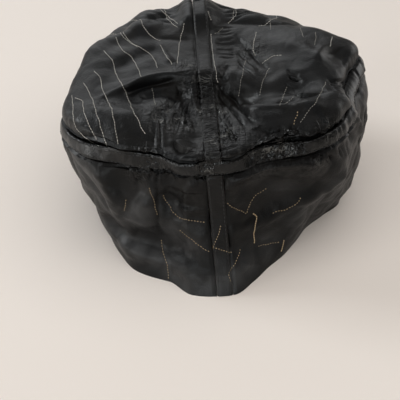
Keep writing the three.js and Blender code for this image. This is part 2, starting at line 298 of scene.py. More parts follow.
@dataclass
class Cuts:
    """Sections of one half that are cut into even lengths; its arrays go by turn and cut.

    Attributes:
        half: the half of the cap.
        turns: the turn of each section.
        distance: how far each cut is from the cap's middle.
        height: how high it is.
        length: how far along its section it is.
    """

    half: Half
    turns: np.ndarray
    distance: np.ndarray
    height: np.ndarray
    length: np.ndarray

    def with_lip(self, way: int, level: np.ndarray | float = 0.0) -> "Cuts":
        """Adds a seam allowance to the sections' ends, which goes on behind the edge strip.

        Args:
            way: 1 where the allowance goes up, -1 where it goes down.
            level: how far each section's allowance lies level instead, from 0 to 1.

        Returns:
            The cuts with the allowance's own.
        """
        inwards, onwards = np.array(LIP).T
        return Cuts(
            self.half,
            self.turns,
            np.hstack((self.distance, self.distance[:, -1:] - inwards - onwards * level)),
            np.hstack((self.height, self.height[:, -1:] + way * onwards * (1 - level))),
            np.hstack((self.length, np.repeat(self.length[:, -1:], len(LIP), axis=1))),
        )

    def places(self) -> np.ndarray:
        """The cuts in millimetres from the cap's middle, set apart by half the middle strip."""
        angle = np.radians(self.turns)[:, None]
        x = self.half.value * (np.sin(angle) * self.distance + APART)
        return np.stack((x, np.cos(angle) * self.distance, self.height), axis=-1)

    def around(self) -> np.ndarray:
        """How far each cut is from the back seam, round the cap."""
        return np.radians(self.turns)[:, None] * self.distance

    def to_end(self) -> np.ndarray:
        """How far each cut is from its section's end, at the edge strip."""
        return self.length[:, -1:] - self.length


Curve = Callable[[np.ndarray, np.ndarray], tuple[np.ndarray, np.ndarray]]


class Sections:
    """One half's table of sections, and the curves that follow it."""

    def __init__(self, half: Half, rows: Sequence[Sequence[float]]) -> None:
        """Keeps the table.

        Args:
            half: the half of the cap.
            rows: the sections in order of their turn, with a value for each of COLUMNS.
        """
        self.half = half
        self.rows = np.array(rows, float)
        self.turns = self.rows[:, 0]

    def column(self, name: str, turn: np.ndarray) -> np.ndarray:
        """A column at each turn: a cubic through its rows that never swings past them.

        Args:
            name: the column, one of COLUMNS.
            turn: degrees round from the back seam.

        Returns:
            The column's value at each turn.
        """
        values = self.rows[:, COLUMNS.index(name)]
        spans = np.diff(self.turns)
        rises = np.diff(values) / spans
        before, after = rises[:-1], rises[1:]
        level = before * after <= 0
        slopes = np.zeros(len(values))
        slopes[1:-1] = np.where(level, 0, 2 * before * after / np.where(level, 1, before + after))
        i = np.clip(np.searchsorted(self.turns, turn, side="right") - 1, 0, len(spans) - 1)
        t, span = (turn - self.turns[i]) / spans[i], spans[i]
        start = (1 + 2 * t) * (1 - t) ** 2 * values[i] + t * (1 - t) ** 2 * span * slopes[i]
        end = t * t * (3 - 2 * t) * values[i + 1] - t * t * (1 - t) * span * slopes[i + 1]
        return start + end

    def crown(self, turn: np.ndarray, share: np.ndarray) -> tuple[np.ndarray, np.ndarray]:
        """The crown's sections, from its middle (share 0) to its lower edge (share 1).

        Args:
            turn: degrees round from the back seam.
            share: the share of the way down each section.

        Returns:
            The distance from the cap's middle, and the height.
        """
        swing = share * math.pi / 2
        drawn_in = self.column("tuck", turn) * smooth(share, CROWN_TURNS_IN, 1)
        distance = self.column("reach", turn) * np.sin(swing) ** CROWN_SWELL - drawn_in
        top = mix(MIDDLE_Z, self.column("shoulder", turn), smooth(share, 0, CROWN_TURNS_IN))
        angle = np.radians(turn)
        x = self.half.value * np.sin(angle) * distance
        fold = fold_rise(CROWN_FOLDS, x, CHART_MIDDLE + np.cos(angle) * distance)
        drop = np.maximum(0, np.cos(swing)) ** self.column("round", turn)
        kept = 1 - smooth(share, CROWN_FOLDS_END, 1)
        return distance, mix(self.column("edge", turn), top, drop) + fold * kept

    def side(self, turn: np.ndarray, share: np.ndarray) -> tuple[np.ndarray, np.ndarray]:
        """The side's sections, from the rim (share 0) to the crown's edge (share 1).

        Args:
            turn: degrees round from the back seam.
            share: the share of the way up each section.

        Returns:
            The distance from the cap's middle, and the height.
        """
        reach, edge = self.column("reach", turn), self.column("edge", turn)
        spread = (1 - share) ** self.column("flare", turn)
        lean = mix(reach - self.column("tuck", turn), self.column("rim", turn), spread)
        belly = share**BELLY_RISE * np.sqrt(np.maximum(0, 1 - share))
        swell = self.column("belly", turn) * BELLY_FULLNESS * belly
        height = edge * share
        kept = smooth(share, 0, SIDE_MARGIN) * smooth(1 - share, 0, SIDE_MARGIN)
        around = self.half.value * np.radians(turn) * reach
        return lean + swell + fold_rise(SIDE_FOLDS, around, height) * kept, height

    def cut(
        self,
        curve: Curve,
        turns: np.ndarray,
        count: int,
        start: float = 0.0,
        end_gap: float = 0.0,
    ) -> Cuts:
        """Cuts sections into even lengths.

        Args:
            curve: the sections' curve, crown or side.
            turns: the turns to cut at.
            count: how many lengths each section gets.
            start: the length to start at; below zero it is counted back from the end.
            end_gap: the length left over at the end.

        Returns:
            The cuts.
        """
        fine = np.linspace(0, 1, FINE_CUTS)
        cuts = []
        for turn in turns:
            distance, height = curve(np.full(fine.shape, turn), fine)
            steps = np.hypot(np.diff(distance), np.diff(height))
            lengths = np.concatenate(([0], np.cumsum(steps)))
            end = lengths[-1] - end_gap
            first = end + start if start < 0 else start
            wanted = np.linspace(first, end, count + 1)
            at = [np.interp(wanted, lengths, values) for values in (distance, height)]
            cuts.append((*at, wanted))
        return Cuts(self.half, turns, *(np.array(part) for part in zip(*cuts)))


SECTIONS = {
    Half.LEFT: Sections(Half.LEFT, LEFT_SECTIONS),
    Half.RIGHT: Sections(Half.RIGHT, RIGHT_SECTIONS),
}


def grid_normals(places: np.ndarray, outwards: np.ndarray) -> np.ndarray:
    """The directions square to a grid of places, on its outer side.

    Args:
        places: the places, by row and column.
        outwards: for each place, a direction that is roughly outwards.

    Returns:
        A unit direction for each place.
    """
    along = np.gradient(places, axis=0)
    across = np.gradient(places, axis=1)
    normals = np.cross(along, across)
    lengths = np.linalg.norm(normals, axis=-1, keepdims=True)
    flat = lengths < 1e-9
    normals = np.where(flat, outwards, normals / np.where(flat, 1, lengths))
    facing = np.sign(np.sum(normals * outwards, axis=-1, keepdims=True))
    return normals * np.where(facing == 0, 1, facing)


class Surface:
    """What a line is cast on: the faces of some pieces."""

    def __init__(self, pieces: Iterable[bpy.types.Object]) -> None:
        """Gathers the faces.

        Args:
            pieces: mesh objects at the frame's origin.
        """
        corners: list[Vector] = []
        faces: list[list[int]] = []
        for piece in pieces:
            first = len(corners)
            corners += [vertex.co.copy() for vertex in piece.data.vertices]
            faces += [[first + i for i in face.vertices] for face in piece.data.polygons]
        self.tree = BVHTree.FromPolygons(corners, faces)

    def cast(self, aim: Aim, point: Point) -> tuple[Vector, Vector] | None:
        """Where a point of a drawn line falls on the surface.

        Args:
            aim: how the point is given.
            point: its two numbers.

        Returns:
            The place and the surface's normal there, or None where it misses.
        """
        away = 400 * MM
        if aim is Aim.PHOTO:
            start, way = VIEW.ray(point)
        elif aim is Aim.ABOVE:
            start = MIDDLE + Vector((point[0] * MM, point[1] * MM, away))
            way = Vector((0, 0, -1))
        else:
            angle = math.radians(point[0])
            out = Vector((math.sin(angle), math.cos(angle), 0))
            start = MIDDLE + out * away + Vector((0, 0, point[1] * MM))
            way = -out
        place, normal, _, _ = self.tree.ray_cast(start, way)
        return None if place is None else (place, normal)

    def line(self, aim: Aim, points: Sequence[Point], step: float) -> np.ndarray:
        """Draws a smooth line through points onto the surface.

        Args:
            aim: how the points are given.
            points: the line's points.
            step: about how far apart the cast points are, in the points' own units.

        Returns:
            Rows of a place and a normal, in metres.
        """
        hits = (self.cast(aim, point) for point in smooth_line(np.array(points, float), step))
        return np.array([(*hit[0], *hit[1]) for hit in hits if hit])


def smooth_line(points: np.ndarray, step: float) -> np.ndarray:
    """A rounded line through points.

    Args:
        points: the points, one in each row.
        step: about how far apart the new points are.

    Returns:
        The new points, with the first and last kept.
    """
    if len(points) < 3:
        count = max(2, round(float(np.linalg.norm(points[-1] - points[0])) / step) + 1)
        return np.linspace(points[0], points[-1], count)
    padded = np.vstack((2 * points[0] - points[1], points, 2 * points[-1] - points[-2]))
    line = [points[:1]]
    for a, b, c, d in zip(padded, padded[1:], padded[2:], padded[3:]):
        count = max(2, round(float(np.linalg.norm(c - b)) / step))
        t = np.linspace(0, 1, count + 1)[1:, None]
        bend = (2 * a - 5 * b + 4 * c - d) * t**2 + (3 * b - a - 3 * c + d) * t**3
        line.append(b + ((c - a) * t + bend) / 2)
    return np.vstack(line)


# How far apart a fold's points are cast, in the points' own units, how far a crease's soft sides
# reach, as a share of its width, and how a fold fades in at its ends, as shares of its length.
FOLD_STEP = 2.5
CREASE_REACH = 2.4
FOLD_ENDS = (-0.1, 0.25)

# The chance in each wrinkle's place, ends, bend, rise and width, as shares of what is given. Three
# wrinkles in four sink, and the fourth rises less.
WRINKLE_PLACE = 0.4
WRINKLE_END = 0.3
WRINKLE_BEND = 0.06
WRINKLE_RISE = (0.6, 1.2)
WRINKLE_WAYS = (-1, -1, -1, 0.6)
WRINKLE_WIDTH = (0.7, 1.3)

# The sizes of the leather's chance relief along its surface, in millimetres.
FACET_SIZE = 34
LUMP_SIZE = 13
CRINKLE_SIZE = 7


@dataclass(frozen=True)
class Fold:
    """A fold, crease or dent of the leather.

    Attributes:
        profile: its shape across its line.
        width: how wide it is to either side, in millimetres.
        rise: how far it rises, or sinks if below zero, in millimetres.
        points: the line's points.
        aim: how the points are given.
    """

    profile: Profile
    width: float
    rise: float
    points: tuple[Point, ...]
    aim: Aim

    def heights(self, places: np.ndarray, solids: Surface) -> np.ndarray:
        """How far the fold raises each place.

        Args:
            places: places on the cap, in metres.
            solids: the solids that the fold's line is cast on.

        Returns:
            The rise at each place, in millimetres.
        """
        line = solids.line(self.aim, self.points, FOLD_STEP)
        total = np.zeros(len(places))
        if len(line) < 2:
            LOG.warning("a fold through %s misses the cap", self.points[0])
            return total
        line = line[:, :3]
        reach = 3 * self.width * MM
        close = np.all((places > line.min(0) - reach) & (places < line.max(0) + reach), axis=1)
        distance, along = near_line(places[close], line)
        apart = distance / (self.width * MM)
        if self.profile is Profile.ROLL:
            shape = bell(apart, 1)
        else:
            shape = np.exp(-apart) * bell(apart, CREASE_REACH)
        ends = smooth(along, *FOLD_ENDS) * smooth(1 - along, *FOLD_ENDS)
        total[close] = self.rise * shape * ends
        return total


def roll(width: float, rise: float, *points: Point, aim: Aim = Aim.PHOTO) -> Fold:
    """A round ridge or hollow along a line."""
    return Fold(Profile.ROLL, width, rise, points, aim)


def crease(width: float, rise: float, *points: Point, aim: Aim = Aim.PHOTO) -> Fold:
    """A sharp crease along a line."""
    return Fold(Profile.CREASE, width, rise, points, aim)


@dataclass(frozen=True)
class Wrinkles:
    """Fine wrinkles side by side, which spread from one line to another.

    Attributes:
        starts: the two ends of the line that they start on.
        ends: the two ends of the line that they run to.
        count: how many there are.
        width: how wide each is to either side, in millimetres.
        rise: how far they rise or sink, in millimetres.
        seed: picks other wrinkles of the same kind.
        aim: how the points are given.
    """

    starts: tuple[Point, Point]
    ends: tuple[Point, Point]
    count: int
    width: float
    rise: float
    seed: int
    aim: Aim = Aim.PHOTO

    def folds(self) -> list[Fold]:
        """The wrinkles one by one, each with its own chance."""
        chance = np.random.default_rng(self.seed)
        starts, ends = np.array(self.starts, float), np.array(self.ends, float)
        made = []
        for i in range(self.count):
            share = (i + 0.5 + chance.uniform(-WRINKLE_PLACE, WRINKLE_PLACE)) / self.count
            start = mix(*starts, share)
            end = mix(*ends, share)
            way = end - start
            start = start + way * chance.uniform(0, WRINKLE_END)
            end = end - way * chance.uniform(0, WRINKLE_END)
            bend = np.array((way[1], -way[0])) * chance.uniform(-WRINKLE_BEND, WRINKLE_BEND)
            rise = self.rise * chance.uniform(*WRINKLE_RISE) * chance.choice(WRINKLE_WAYS)
            width = self.width * chance.uniform(*WRINKLE_WIDTH)
            middle = (start + end) / 2 + bend
            made.append(crease(width, rise, start, middle, end, aim=self.aim))
        return made


@dataclass(frozen=True)
class Patch:
    """A soft patch of the leather: crumpled and worn, or painted with light.

    Attributes:
        point: its middle.
        size: its radius in millimetres.
        amount: how strong it is, from 0 to 1.
        aim: how the middle is given.
    """

    point: Point
    size: float
    amount: float
    aim: Aim = Aim.PHOTO

    def amounts(self, places: np.ndarray, solids: Surface) -> np.ndarray:
        """How strong the patch is at each place, from 0 to 1."""
        hit = solids.cast(self.aim, self.point)
        if hit is None:
            return np.zeros(len(places))
        distance = np.linalg.norm(places - np.array(hit[0]), axis=1)
        return self.amount * bell(distance, self.size * MM)


def strongest(patches: Iterable[Patch], places: np.ndarray, solids: Surface) -> np.ndarray:
    """The strongest of some patches at each place, from 0 to 1."""
    return np.max([patch.amounts(places, solids) for patch in patches], axis=0)


ABOVE, ROUND = Aim.ABOVE, Aim.ROUND

# Folds that the photograph shows on the crown: the left panel's, then the right panel's.
CROWN_DETAIL = (
    roll(3, 1.8, (98, 98), (123, 89), (140, 80), (158, 75), (177, 72)),
    roll(7, -1.6, (140, 98), (156, 94), (176, 90)),
    roll(3.6, -3.8, (124, 94), (143, 85), (163, 81), (180, 80)),
    roll(11, 2.4, (84, 108), (110, 113), (140, 116)),
    roll(12, -2.6, (82, 137), (108, 147), (138, 150), (168, 155)),
    crease(3, -2.6, (176, 84), (186, 104), (195, 126)),
    roll(4, 1.6, (181, 106), (186, 120), (191, 132)),
    roll(8, -2, (176, 140), (180, 149), (186, 155)),
    roll(7, -1.8, (116, 70), (133, 58), (150, 51), (163, 53)),
    roll(6, 1, (130, 32), (142, 21), (166, 12)),
    crease(3, -1.5, (156, 37), (175, 38), (195, 39)),
    roll(3, 1.2, (158, 42), (164, 52), (172, 63)),
    crease(1.3, -0.8, (152, 122), (153, 150)),
    crease(1.3, -0.8, (160, 118), (161, 152)),
    roll(3, 1.4, (149, 118), (153, 112), (158, 107)),
    roll(4, 1.4, (130, 97), (150, 100), (172, 96)),
    roll(6, 1, (228, 14), (262, 16), (300, 22)),
    crease(3, -2, (226, 22), (260, 23), (300, 27)),
    crease(2, -2, (236, 36), (255, 57), (268, 70)),
    crease(3, -1.6, (228, 64), (224, 74), (219, 84)),
    roll(7, -5, (222, 89), (250, 97), (285, 100), (304, 97)),
    roll(6, 3.2, (244, 108), (265, 108), (300, 105), (332, 108)),
    roll(8, -4, (258, 134), (285, 138), (308, 136)),
    crease(1.8, -3.4, (220, 87), (237, 103), (254, 122)),
    crease(1.8, -2.9, (217, 91), (231, 107), (247, 127)),
    crease(2, -1.2, (260, 130), (276, 131), (296, 128)),
    crease(2, -1.2, (204, 127), (221, 132), (238, 138)),
    crease(2, 1.2, (206, 134), (222, 139), (236, 143)),
    crease(2, -1.2, (288, 76), (300, 80)),
    crease(2, -1.2, (330, 80), (342, 86)),
    roll(8, -2.4, (332, 50), (348, 62)),
    roll(4, 1.4, (316, 62), (325, 44)),
    roll(6, 1.8, (326, 92), (340, 98), (347, 106)),
    roll(8, 1.4, (280, 40), (310, 52), (322, 70)),
    roll(8, -1.4, (258, 45), (288, 58), (300, 72)),
)

# Folds that the photograph shows on the side panels and the strips round the crown's edge.
SIDE_DETAIL = (
    roll(9, -2.6, (162, 192), (172, 210), (184, 219), (208, 224)),
    roll(9, -2.6, (214, 252), (234, 253), (258, 246), (286, 238)),
    roll(7, -2.2, (104, 212), (124, 236), (150, 249), (172, 264)),
    roll(4, -1.6, (143, 183), (134, 200), (120, 216)),
    roll(4, 1.5, (196, 180), (189, 190), (182, 204)),
    roll(12, -3, (183, 190), (186, 212)),
    roll(10, 2.4, (146, 196), (144, 212), (142, 228)),
    roll(8, 3, (92, 162), (110, 188), (124, 214)),
    roll(5, -1.4, (82, 170), (100, 196), (112, 216)),
    roll(7, 1.7, (108, 222), (126, 245), (160, 260), (200, 277)),
    roll(8, -1.6, (118, 212), (136, 232), (166, 245), (204, 260)),
    crease(2, -1.2, (158, 178), (158, 210), (160, 246)),
    crease(2, -1.2, (135, 168), (136, 188)),
    crease(2, -1, (141, 169), (142, 182)),
    crease(2, -0.8, (148, 158), (149, 170)),
    crease(2, -0.8, (156, 160), (157, 172)),
    roll(4, 3.2, (222, 191), (245, 175), (270, 166), (292, 163), (320, 163)),
    roll(9, -3, (232, 198), (256, 188), (284, 182)),
    crease(2, -1.5, (246, 167), (251, 157), (258, 150)),
    crease(2, -1.5, (256, 165), (262, 154), (267, 147)),
    crease(2, -1.5, (266, 161), (272, 150)),
    crease(2, -1.3, (276, 160), (281, 147)),
    crease(2, -1.3, (285, 157), (290, 146)),
    crease(3, -2, (207, 162), (202, 171), (197, 179)),
    roll(5, 2, (322, 193), (338, 178), (347, 168)),
    roll(6, -2.4, (296, 150), (312, 152), (328, 160)),
    roll(8, 2.6, (250, 236), (296, 206), (332, 184)),
    roll(6, -2.2, (232, 244), (270, 226), (304, 202)),
    roll(4, 1.8, (348, 104), (356, 118), (362, 134)),
    roll(4, -1.6, (344, 110), (350, 126), (354, 142)),
)

# Plain folds of the same kind where the photograph does not reach.
HIDDEN_DETAIL = (
    roll(14, 4, (-94, 96), (-104, 88), (-112, 76), aim=ROUND),
    roll(8, 2, (30, -60), (62, -50), (84, -30), aim=ABOVE),
    crease(4, -2, (18, -84), (44, -70), (66, -72), aim=ABOVE),
    roll(9, -2, (22, -104), (50, -96), (70, -80), aim=ABOVE),
    roll(8, 2, (-26, -70), (-56, -62), (-80, -40), aim=ABOVE),
    crease(4, -2, (-14, -90), (-40, -84), (-64, -66), aim=ABOVE),
    roll(9, -1.8, (-20, -106), (-48, -100), (-72, -78), aim=ABOVE),
    roll(7, 2, (150, 52), (165, 44), (178, 48), aim=ROUND),
    crease(4, -2, (140, 60), (156, 66), (170, 60), aim=ROUND),
    roll(7, 2, (-146, 50), (-160, 44), (-176, 50), aim=ROUND),
    crease(4, -2, (-136, 66), (-150, 62), (-168, 66), aim=ROUND),
    roll(7, 2, (86, 78), (96, 54), (104, 30), aim=ROUND),
    crease(4, -2, (78, 84), (88, 60), (92, 36), aim=ROUND),
    roll(7, -2, (100, 70), (110, 48), (116, 24), aim=ROUND),
    roll(7, 2, (-80, 74), (-92, 54), (-104, 26), aim=ROUND),
    crease(4, -2, (-72, 60), (-82, 42), (-88, 20), aim=ROUND),
    roll(7, -2, (-100, 70), (-108, 50), (-116, 26), aim=ROUND),
    roll(9, -2, (108, 96), (120, 84), (134, 80), aim=ROUND),
    roll(9, -2, (-108, 92), (-122, 80), (-136, 84), aim=ROUND),
)

# Where the leather is drawn together. The last rows are where the photograph does not reach.
WRINKLES = (
    Wrinkles(((183, 84), (192, 90)), ((150, 112), (194, 138)), 24, 0.9, 0.9, 1),
    Wrinkles(((150, 118), (168, 112)), ((146, 150), (170, 154)), 12, 0.8, 0.5, 2),
    Wrinkles(((176, 104), (192, 108)), ((168, 134), (190, 136)), 11, 0.9, 0.8, 3),
    Wrinkles(((192, 74), (194, 134)), ((216, 70), (220, 134)), 23, 0.9, 0.9, 4),
    Wrinkles(((174, 72), (178, 90)), ((196, 68), (198, 92)), 8, 0.9, 0.9, 5),
    Wrinkles(((218, 92), (216, 126)), ((232, 118), (240, 150)), 12, 0.9, 0.9, 6),
    Wrinkles(((203, 126), (206, 158)), ((238, 130), (240, 154)), 12, 0.9, 0.9, 7),
    Wrinkles(((214, 28), (214, 58)), ((236, 26), (238, 60)), 11, 1.2, 0.9, 8),
    Wrinkles(((240, 34), (232, 62)), ((262, 52), (258, 84)), 11, 1.2, 0.9, 9),
    Wrinkles(((286, 66), (280, 92)), ((306, 74), (300, 98)), 9, 1.2, 1.2, 10),
    Wrinkles(((262, 124), (300, 122)), ((256, 144), (296, 136)), 11, 1.2, 1.0, 11),
    Wrinkles(((236, 172), (300, 150)), ((250, 148), (306, 134)), 13, 1.2, 1.4, 12),
    Wrinkles(((244, 150), (296, 138)), ((258, 170), (312, 156)), 8, 1.1, 1.1, 30),
    Wrinkles(((118, 166), (180, 180)), ((120, 152), (182, 162)), 16, 1.2, 0.9, 13),
    Wrinkles(((150, 166), (174, 168)), ((146, 184), (172, 190)), 11, 1.2, 1.2, 14),
    Wrinkles(((196, 160), (196, 180)), ((214, 158), (222, 178)), 9, 1.2, 1.5, 15),
    Wrinkles(((308, 128), (340, 116)), ((322, 146), (346, 128)), 9, 1.2, 1.4, 16),
    Wrinkles(((318, 148), (346, 140)), ((326, 168), (352, 160)), 9, 1.2, 1.4, 17),
    Wrinkles(((322, 76), (334, 92)), ((344, 80), (346, 100)), 8, 1.2, 1.4, 18),
    Wrinkles(((82, 140), (112, 150)), ((84, 130), (114, 138)), 11, 1.2, 1.0, 19),
    Wrinkles(((92, 104), (104, 96)), ((98, 116), (112, 104)), 8, 1.2, 0.9, 20),
    Wrinkles(((-10, -88), (-12, -112)), ((22, -88), (24, -112)), 12, 1.2, 1.5, 21, ABOVE),
    Wrinkles(((20, -60), (10, -90)), ((52, -76), (40, -104)), 11, 1.2, 1.2, 22, ABOVE),
    Wrinkles(((-20, -60), (-14, -92)), ((-50, -70), (-40, -104)), 11, 1.2, 1.2, 23, ABOVE),
    Wrinkles(((70, 92), (104, 78)), ((66, 64), (100, 58)), 12, 1.2, 1.4, 24, ROUND),
    Wrinkles(((-70, 92), (-104, 78)), ((-66, 64), (-100, 58)), 12, 1.2, 1.4, 25, ROUND),
    Wrinkles(((126, 30), (118, 58)), ((106, 22), (98, 44)), 11, 1.2, 1.4, 26, ROUND),
    Wrinkles(((-126, 30), (-118, 58)), ((-106, 22), (-98, 44)), 11, 1.2, 1.4, 27, ROUND),
    Wrinkles(((132, 64), (176, 60)), ((134, 40), (176, 40)), 16, 1.2, 1.4, 28, ROUND),
    Wrinkles(((-132, 64), (-176, 60)), ((-134, 40), (-176, 40)), 16, 1.2, 1.4, 29, ROUND),
)

# Where the leather is crumpled and rubbed.
WORN_PATCHES = (
    Patch((172, 116), 16, 1.0),
    Patch((186, 122), 9, 1.0),
    Patch((187, 66), 9, 0.9),
    Patch((206, 88), 14, 0.8),
    Patch((210, 112), 14, 0.9),
    Patch((222, 140), 14, 1.0),
    Patch((203, 168), 10, 0.8),
    Patch((266, 155), 15, 0.75),
    Patch((284, 150), 12, 0.75),
    Patch((152, 162), 12, 0.8),
    Patch((138, 176), 8, 0.7),
    Patch((330, 132), 10, 0.6),
    Patch((312, 164), 12, 0.6),
    Patch((250, 50), 12, 0.5),
    Patch((110, 104), 8, 0.4),
    Patch((8, -96), 16, 0.3, ABOVE),
    Patch((90, 74), 14, 0.25, ROUND),
    Patch((-88, 66), 14, 0.25, ROUND),
    Patch((122, 40), 12, 0.25, ROUND),
    Patch((-122, 40), 12, 0.25, ROUND),
)

# Painted light: grey patches painted where light falls on the walls' facets.
PAINTED_LIGHT_PATCHES = (
    Patch((77, 158), 14, 0.8),
    Patch((100, 202), 13, 0.7),
    Patch((84, 172), 14, 0.9),
    Patch((92, 186), 12, 0.6),
    Patch((142, 196), 10, 0.8),
    Patch((138, 208), 13, 1.0),
    Patch((128, 220), 13, 0.9),
    Patch((144, 224), 13, 0.8),
    Patch((110, 226), 9, 0.9),
    Patch((124, 240), 9, 0.9),
    Patch((140, 250), 9, 1.0),
    Patch((156, 258), 9, 0.9),
    Patch((174, 270), 12, 0.9),
    Patch((192, 282), 14, 0.8),
    Patch((172, 232), 12, 0.6),
    Patch((190, 244), 13, 0.6),
    Patch((214, 284), 12, 0.8),
    Patch((234, 276), 13, 1.0),
    Patch((250, 262), 13, 1.0),
    Patch((268, 250), 12, 0.9),
    Patch((222, 262), 9, 0.6),
    Patch((300, 214), 12, 0.6),
    Patch((322, 196), 12, 0.8),
    Patch((262, 178), 10, 0.4),
    Patch((282, 190), 13, 0.4),
    Patch((352, 124), 17, 0.6),
    Patch((350, 150), 17, 0.6),
    Patch((340, 178), 14, 0.6),
    Patch((90, 30), 23, 0.6, ROUND),
    Patch((112, 44), 17, 0.5, ROUND),
    Patch((-84, 40), 23, 0.6, ROUND),
    Patch((-110, 36), 20, 0.6, ROUND),
)


def crumple(places: np.ndarray, size: float, seed: float, sharp: bool) -> np.ndarray:
    """Soft chance relief.

    Args:
        places: the places, in metres.
        size: the relief's size along the surface, in millimetres.
        seed: picks another relief of the same kind.
        sharp: whether its hollows are creases.

    Returns:
        The relief at each place, about from -1 to 1.
    """
    shift = Vector((seed, 2 * seed, 3 * seed))
    scaled = places / (size * MM)
    if sharp:
        values = [noise.turbulence(Vector(p) + shift, 3, True) for p in scaled]
        return np.array(values) * 2 - 1
    return np.array([noise.noise(Vector(p) + shift) for p in scaled])


def chance_way(point: Vector) -> list[float]:
    """A direction that changes softly with the point, and is the same each run."""
    shifts = (Vector((0, 0, 0)), Vector((31, 0, 0)), Vector((0, 31, 0)))
    return [noise.noise(point + shift) for shift in shifts]


def select_only(piece: bpy.types.Object) -> None:
    """Leaves one piece selected and active."""
    bpy.ops.object.select_all(action="DESELECT")
    piece.select_set(True)
    bpy.context.view_layer.objects.active = piece


def coordinates(piece: bpy.types.Object) -> np.ndarray:
    """The places of a piece's points, one in each row."""
    places = np.zeros(len(piece.data.vertices) * 3)
    piece.data.vertices.foreach_get("co", places)
    return places.reshape(-1, 3)


def set_coordinates(piece: bpy.types.Object, places: np.ndarray) -> None:
    """Moves a piece's points to places, one in each row."""
    piece.data.vertices.foreach_set("co", places.astype(np.float32).ravel())
    piece.data.update()


@dataclass(frozen=True)
class Seam:
    """How a wall turns in and puckers along a seam, in millimetres.

    Attributes:
        depth: how far it turns in.
        width: how near the seam it does.
        height: how high its puckers stand.
        crowding: how close together they are, as a share of the usual.
        unlike: picks other puckers than another seam's.
    """

    depth: float
    width: float
    height: float = 0.0
    crowding: float = 1.0
    unlike: int = 0

    def turn_in(self, distance: np.ndarray) -> np.ndarray:
        """How a wall turns in at each distance from the seam."""
        return -self.depth * bell(distance, self.width)

    def puckers(self, along: np.ndarray, distance: np.ndarray, half: Half) -> np.ndarray:
        """Small folds square to the seam, which die away from it.

        Args:
            along: the distance along the seam.
            distance: the distance from it.
            half: the half of the cap that the wall is on.

        Returns:
            The relief.
        """
        pitch, draw, fade = 6.5, 30.0, 9.0
        calm, lively, slower = 0.3, 2.0, 5
        seed = half.value + self.unlike
        scaled = (along.ravel() * self.crowding / pitch, distance.ravel() / draw)
        values = []
        for x, y in zip(*scaled):
            strength = calm + lively * abs(noise.noise(Vector((x / slower, y, seed + 7))))
            values.append(noise.noise(Vector((x, y, seed))) * strength)
        return self.height * np.array(values).reshape(along.shape) * np.exp(-distance / fade)


@dataclass
class Grid:
    """A wall's outer surface before it is sculpted; its arrays go by row and column.

    Attributes:
        places: its places, in millimetres from the cap's middle.
        outwards: directions that are roughly outwards.
        seams: the seams' relief, in millimetres.
        let_in: how far the sculpting is let in, from 0 to 1.
    """

    places: np.ndarray
    outwards: np.ndarray
    seams: np.ndarray
    let_in: np.ndarray


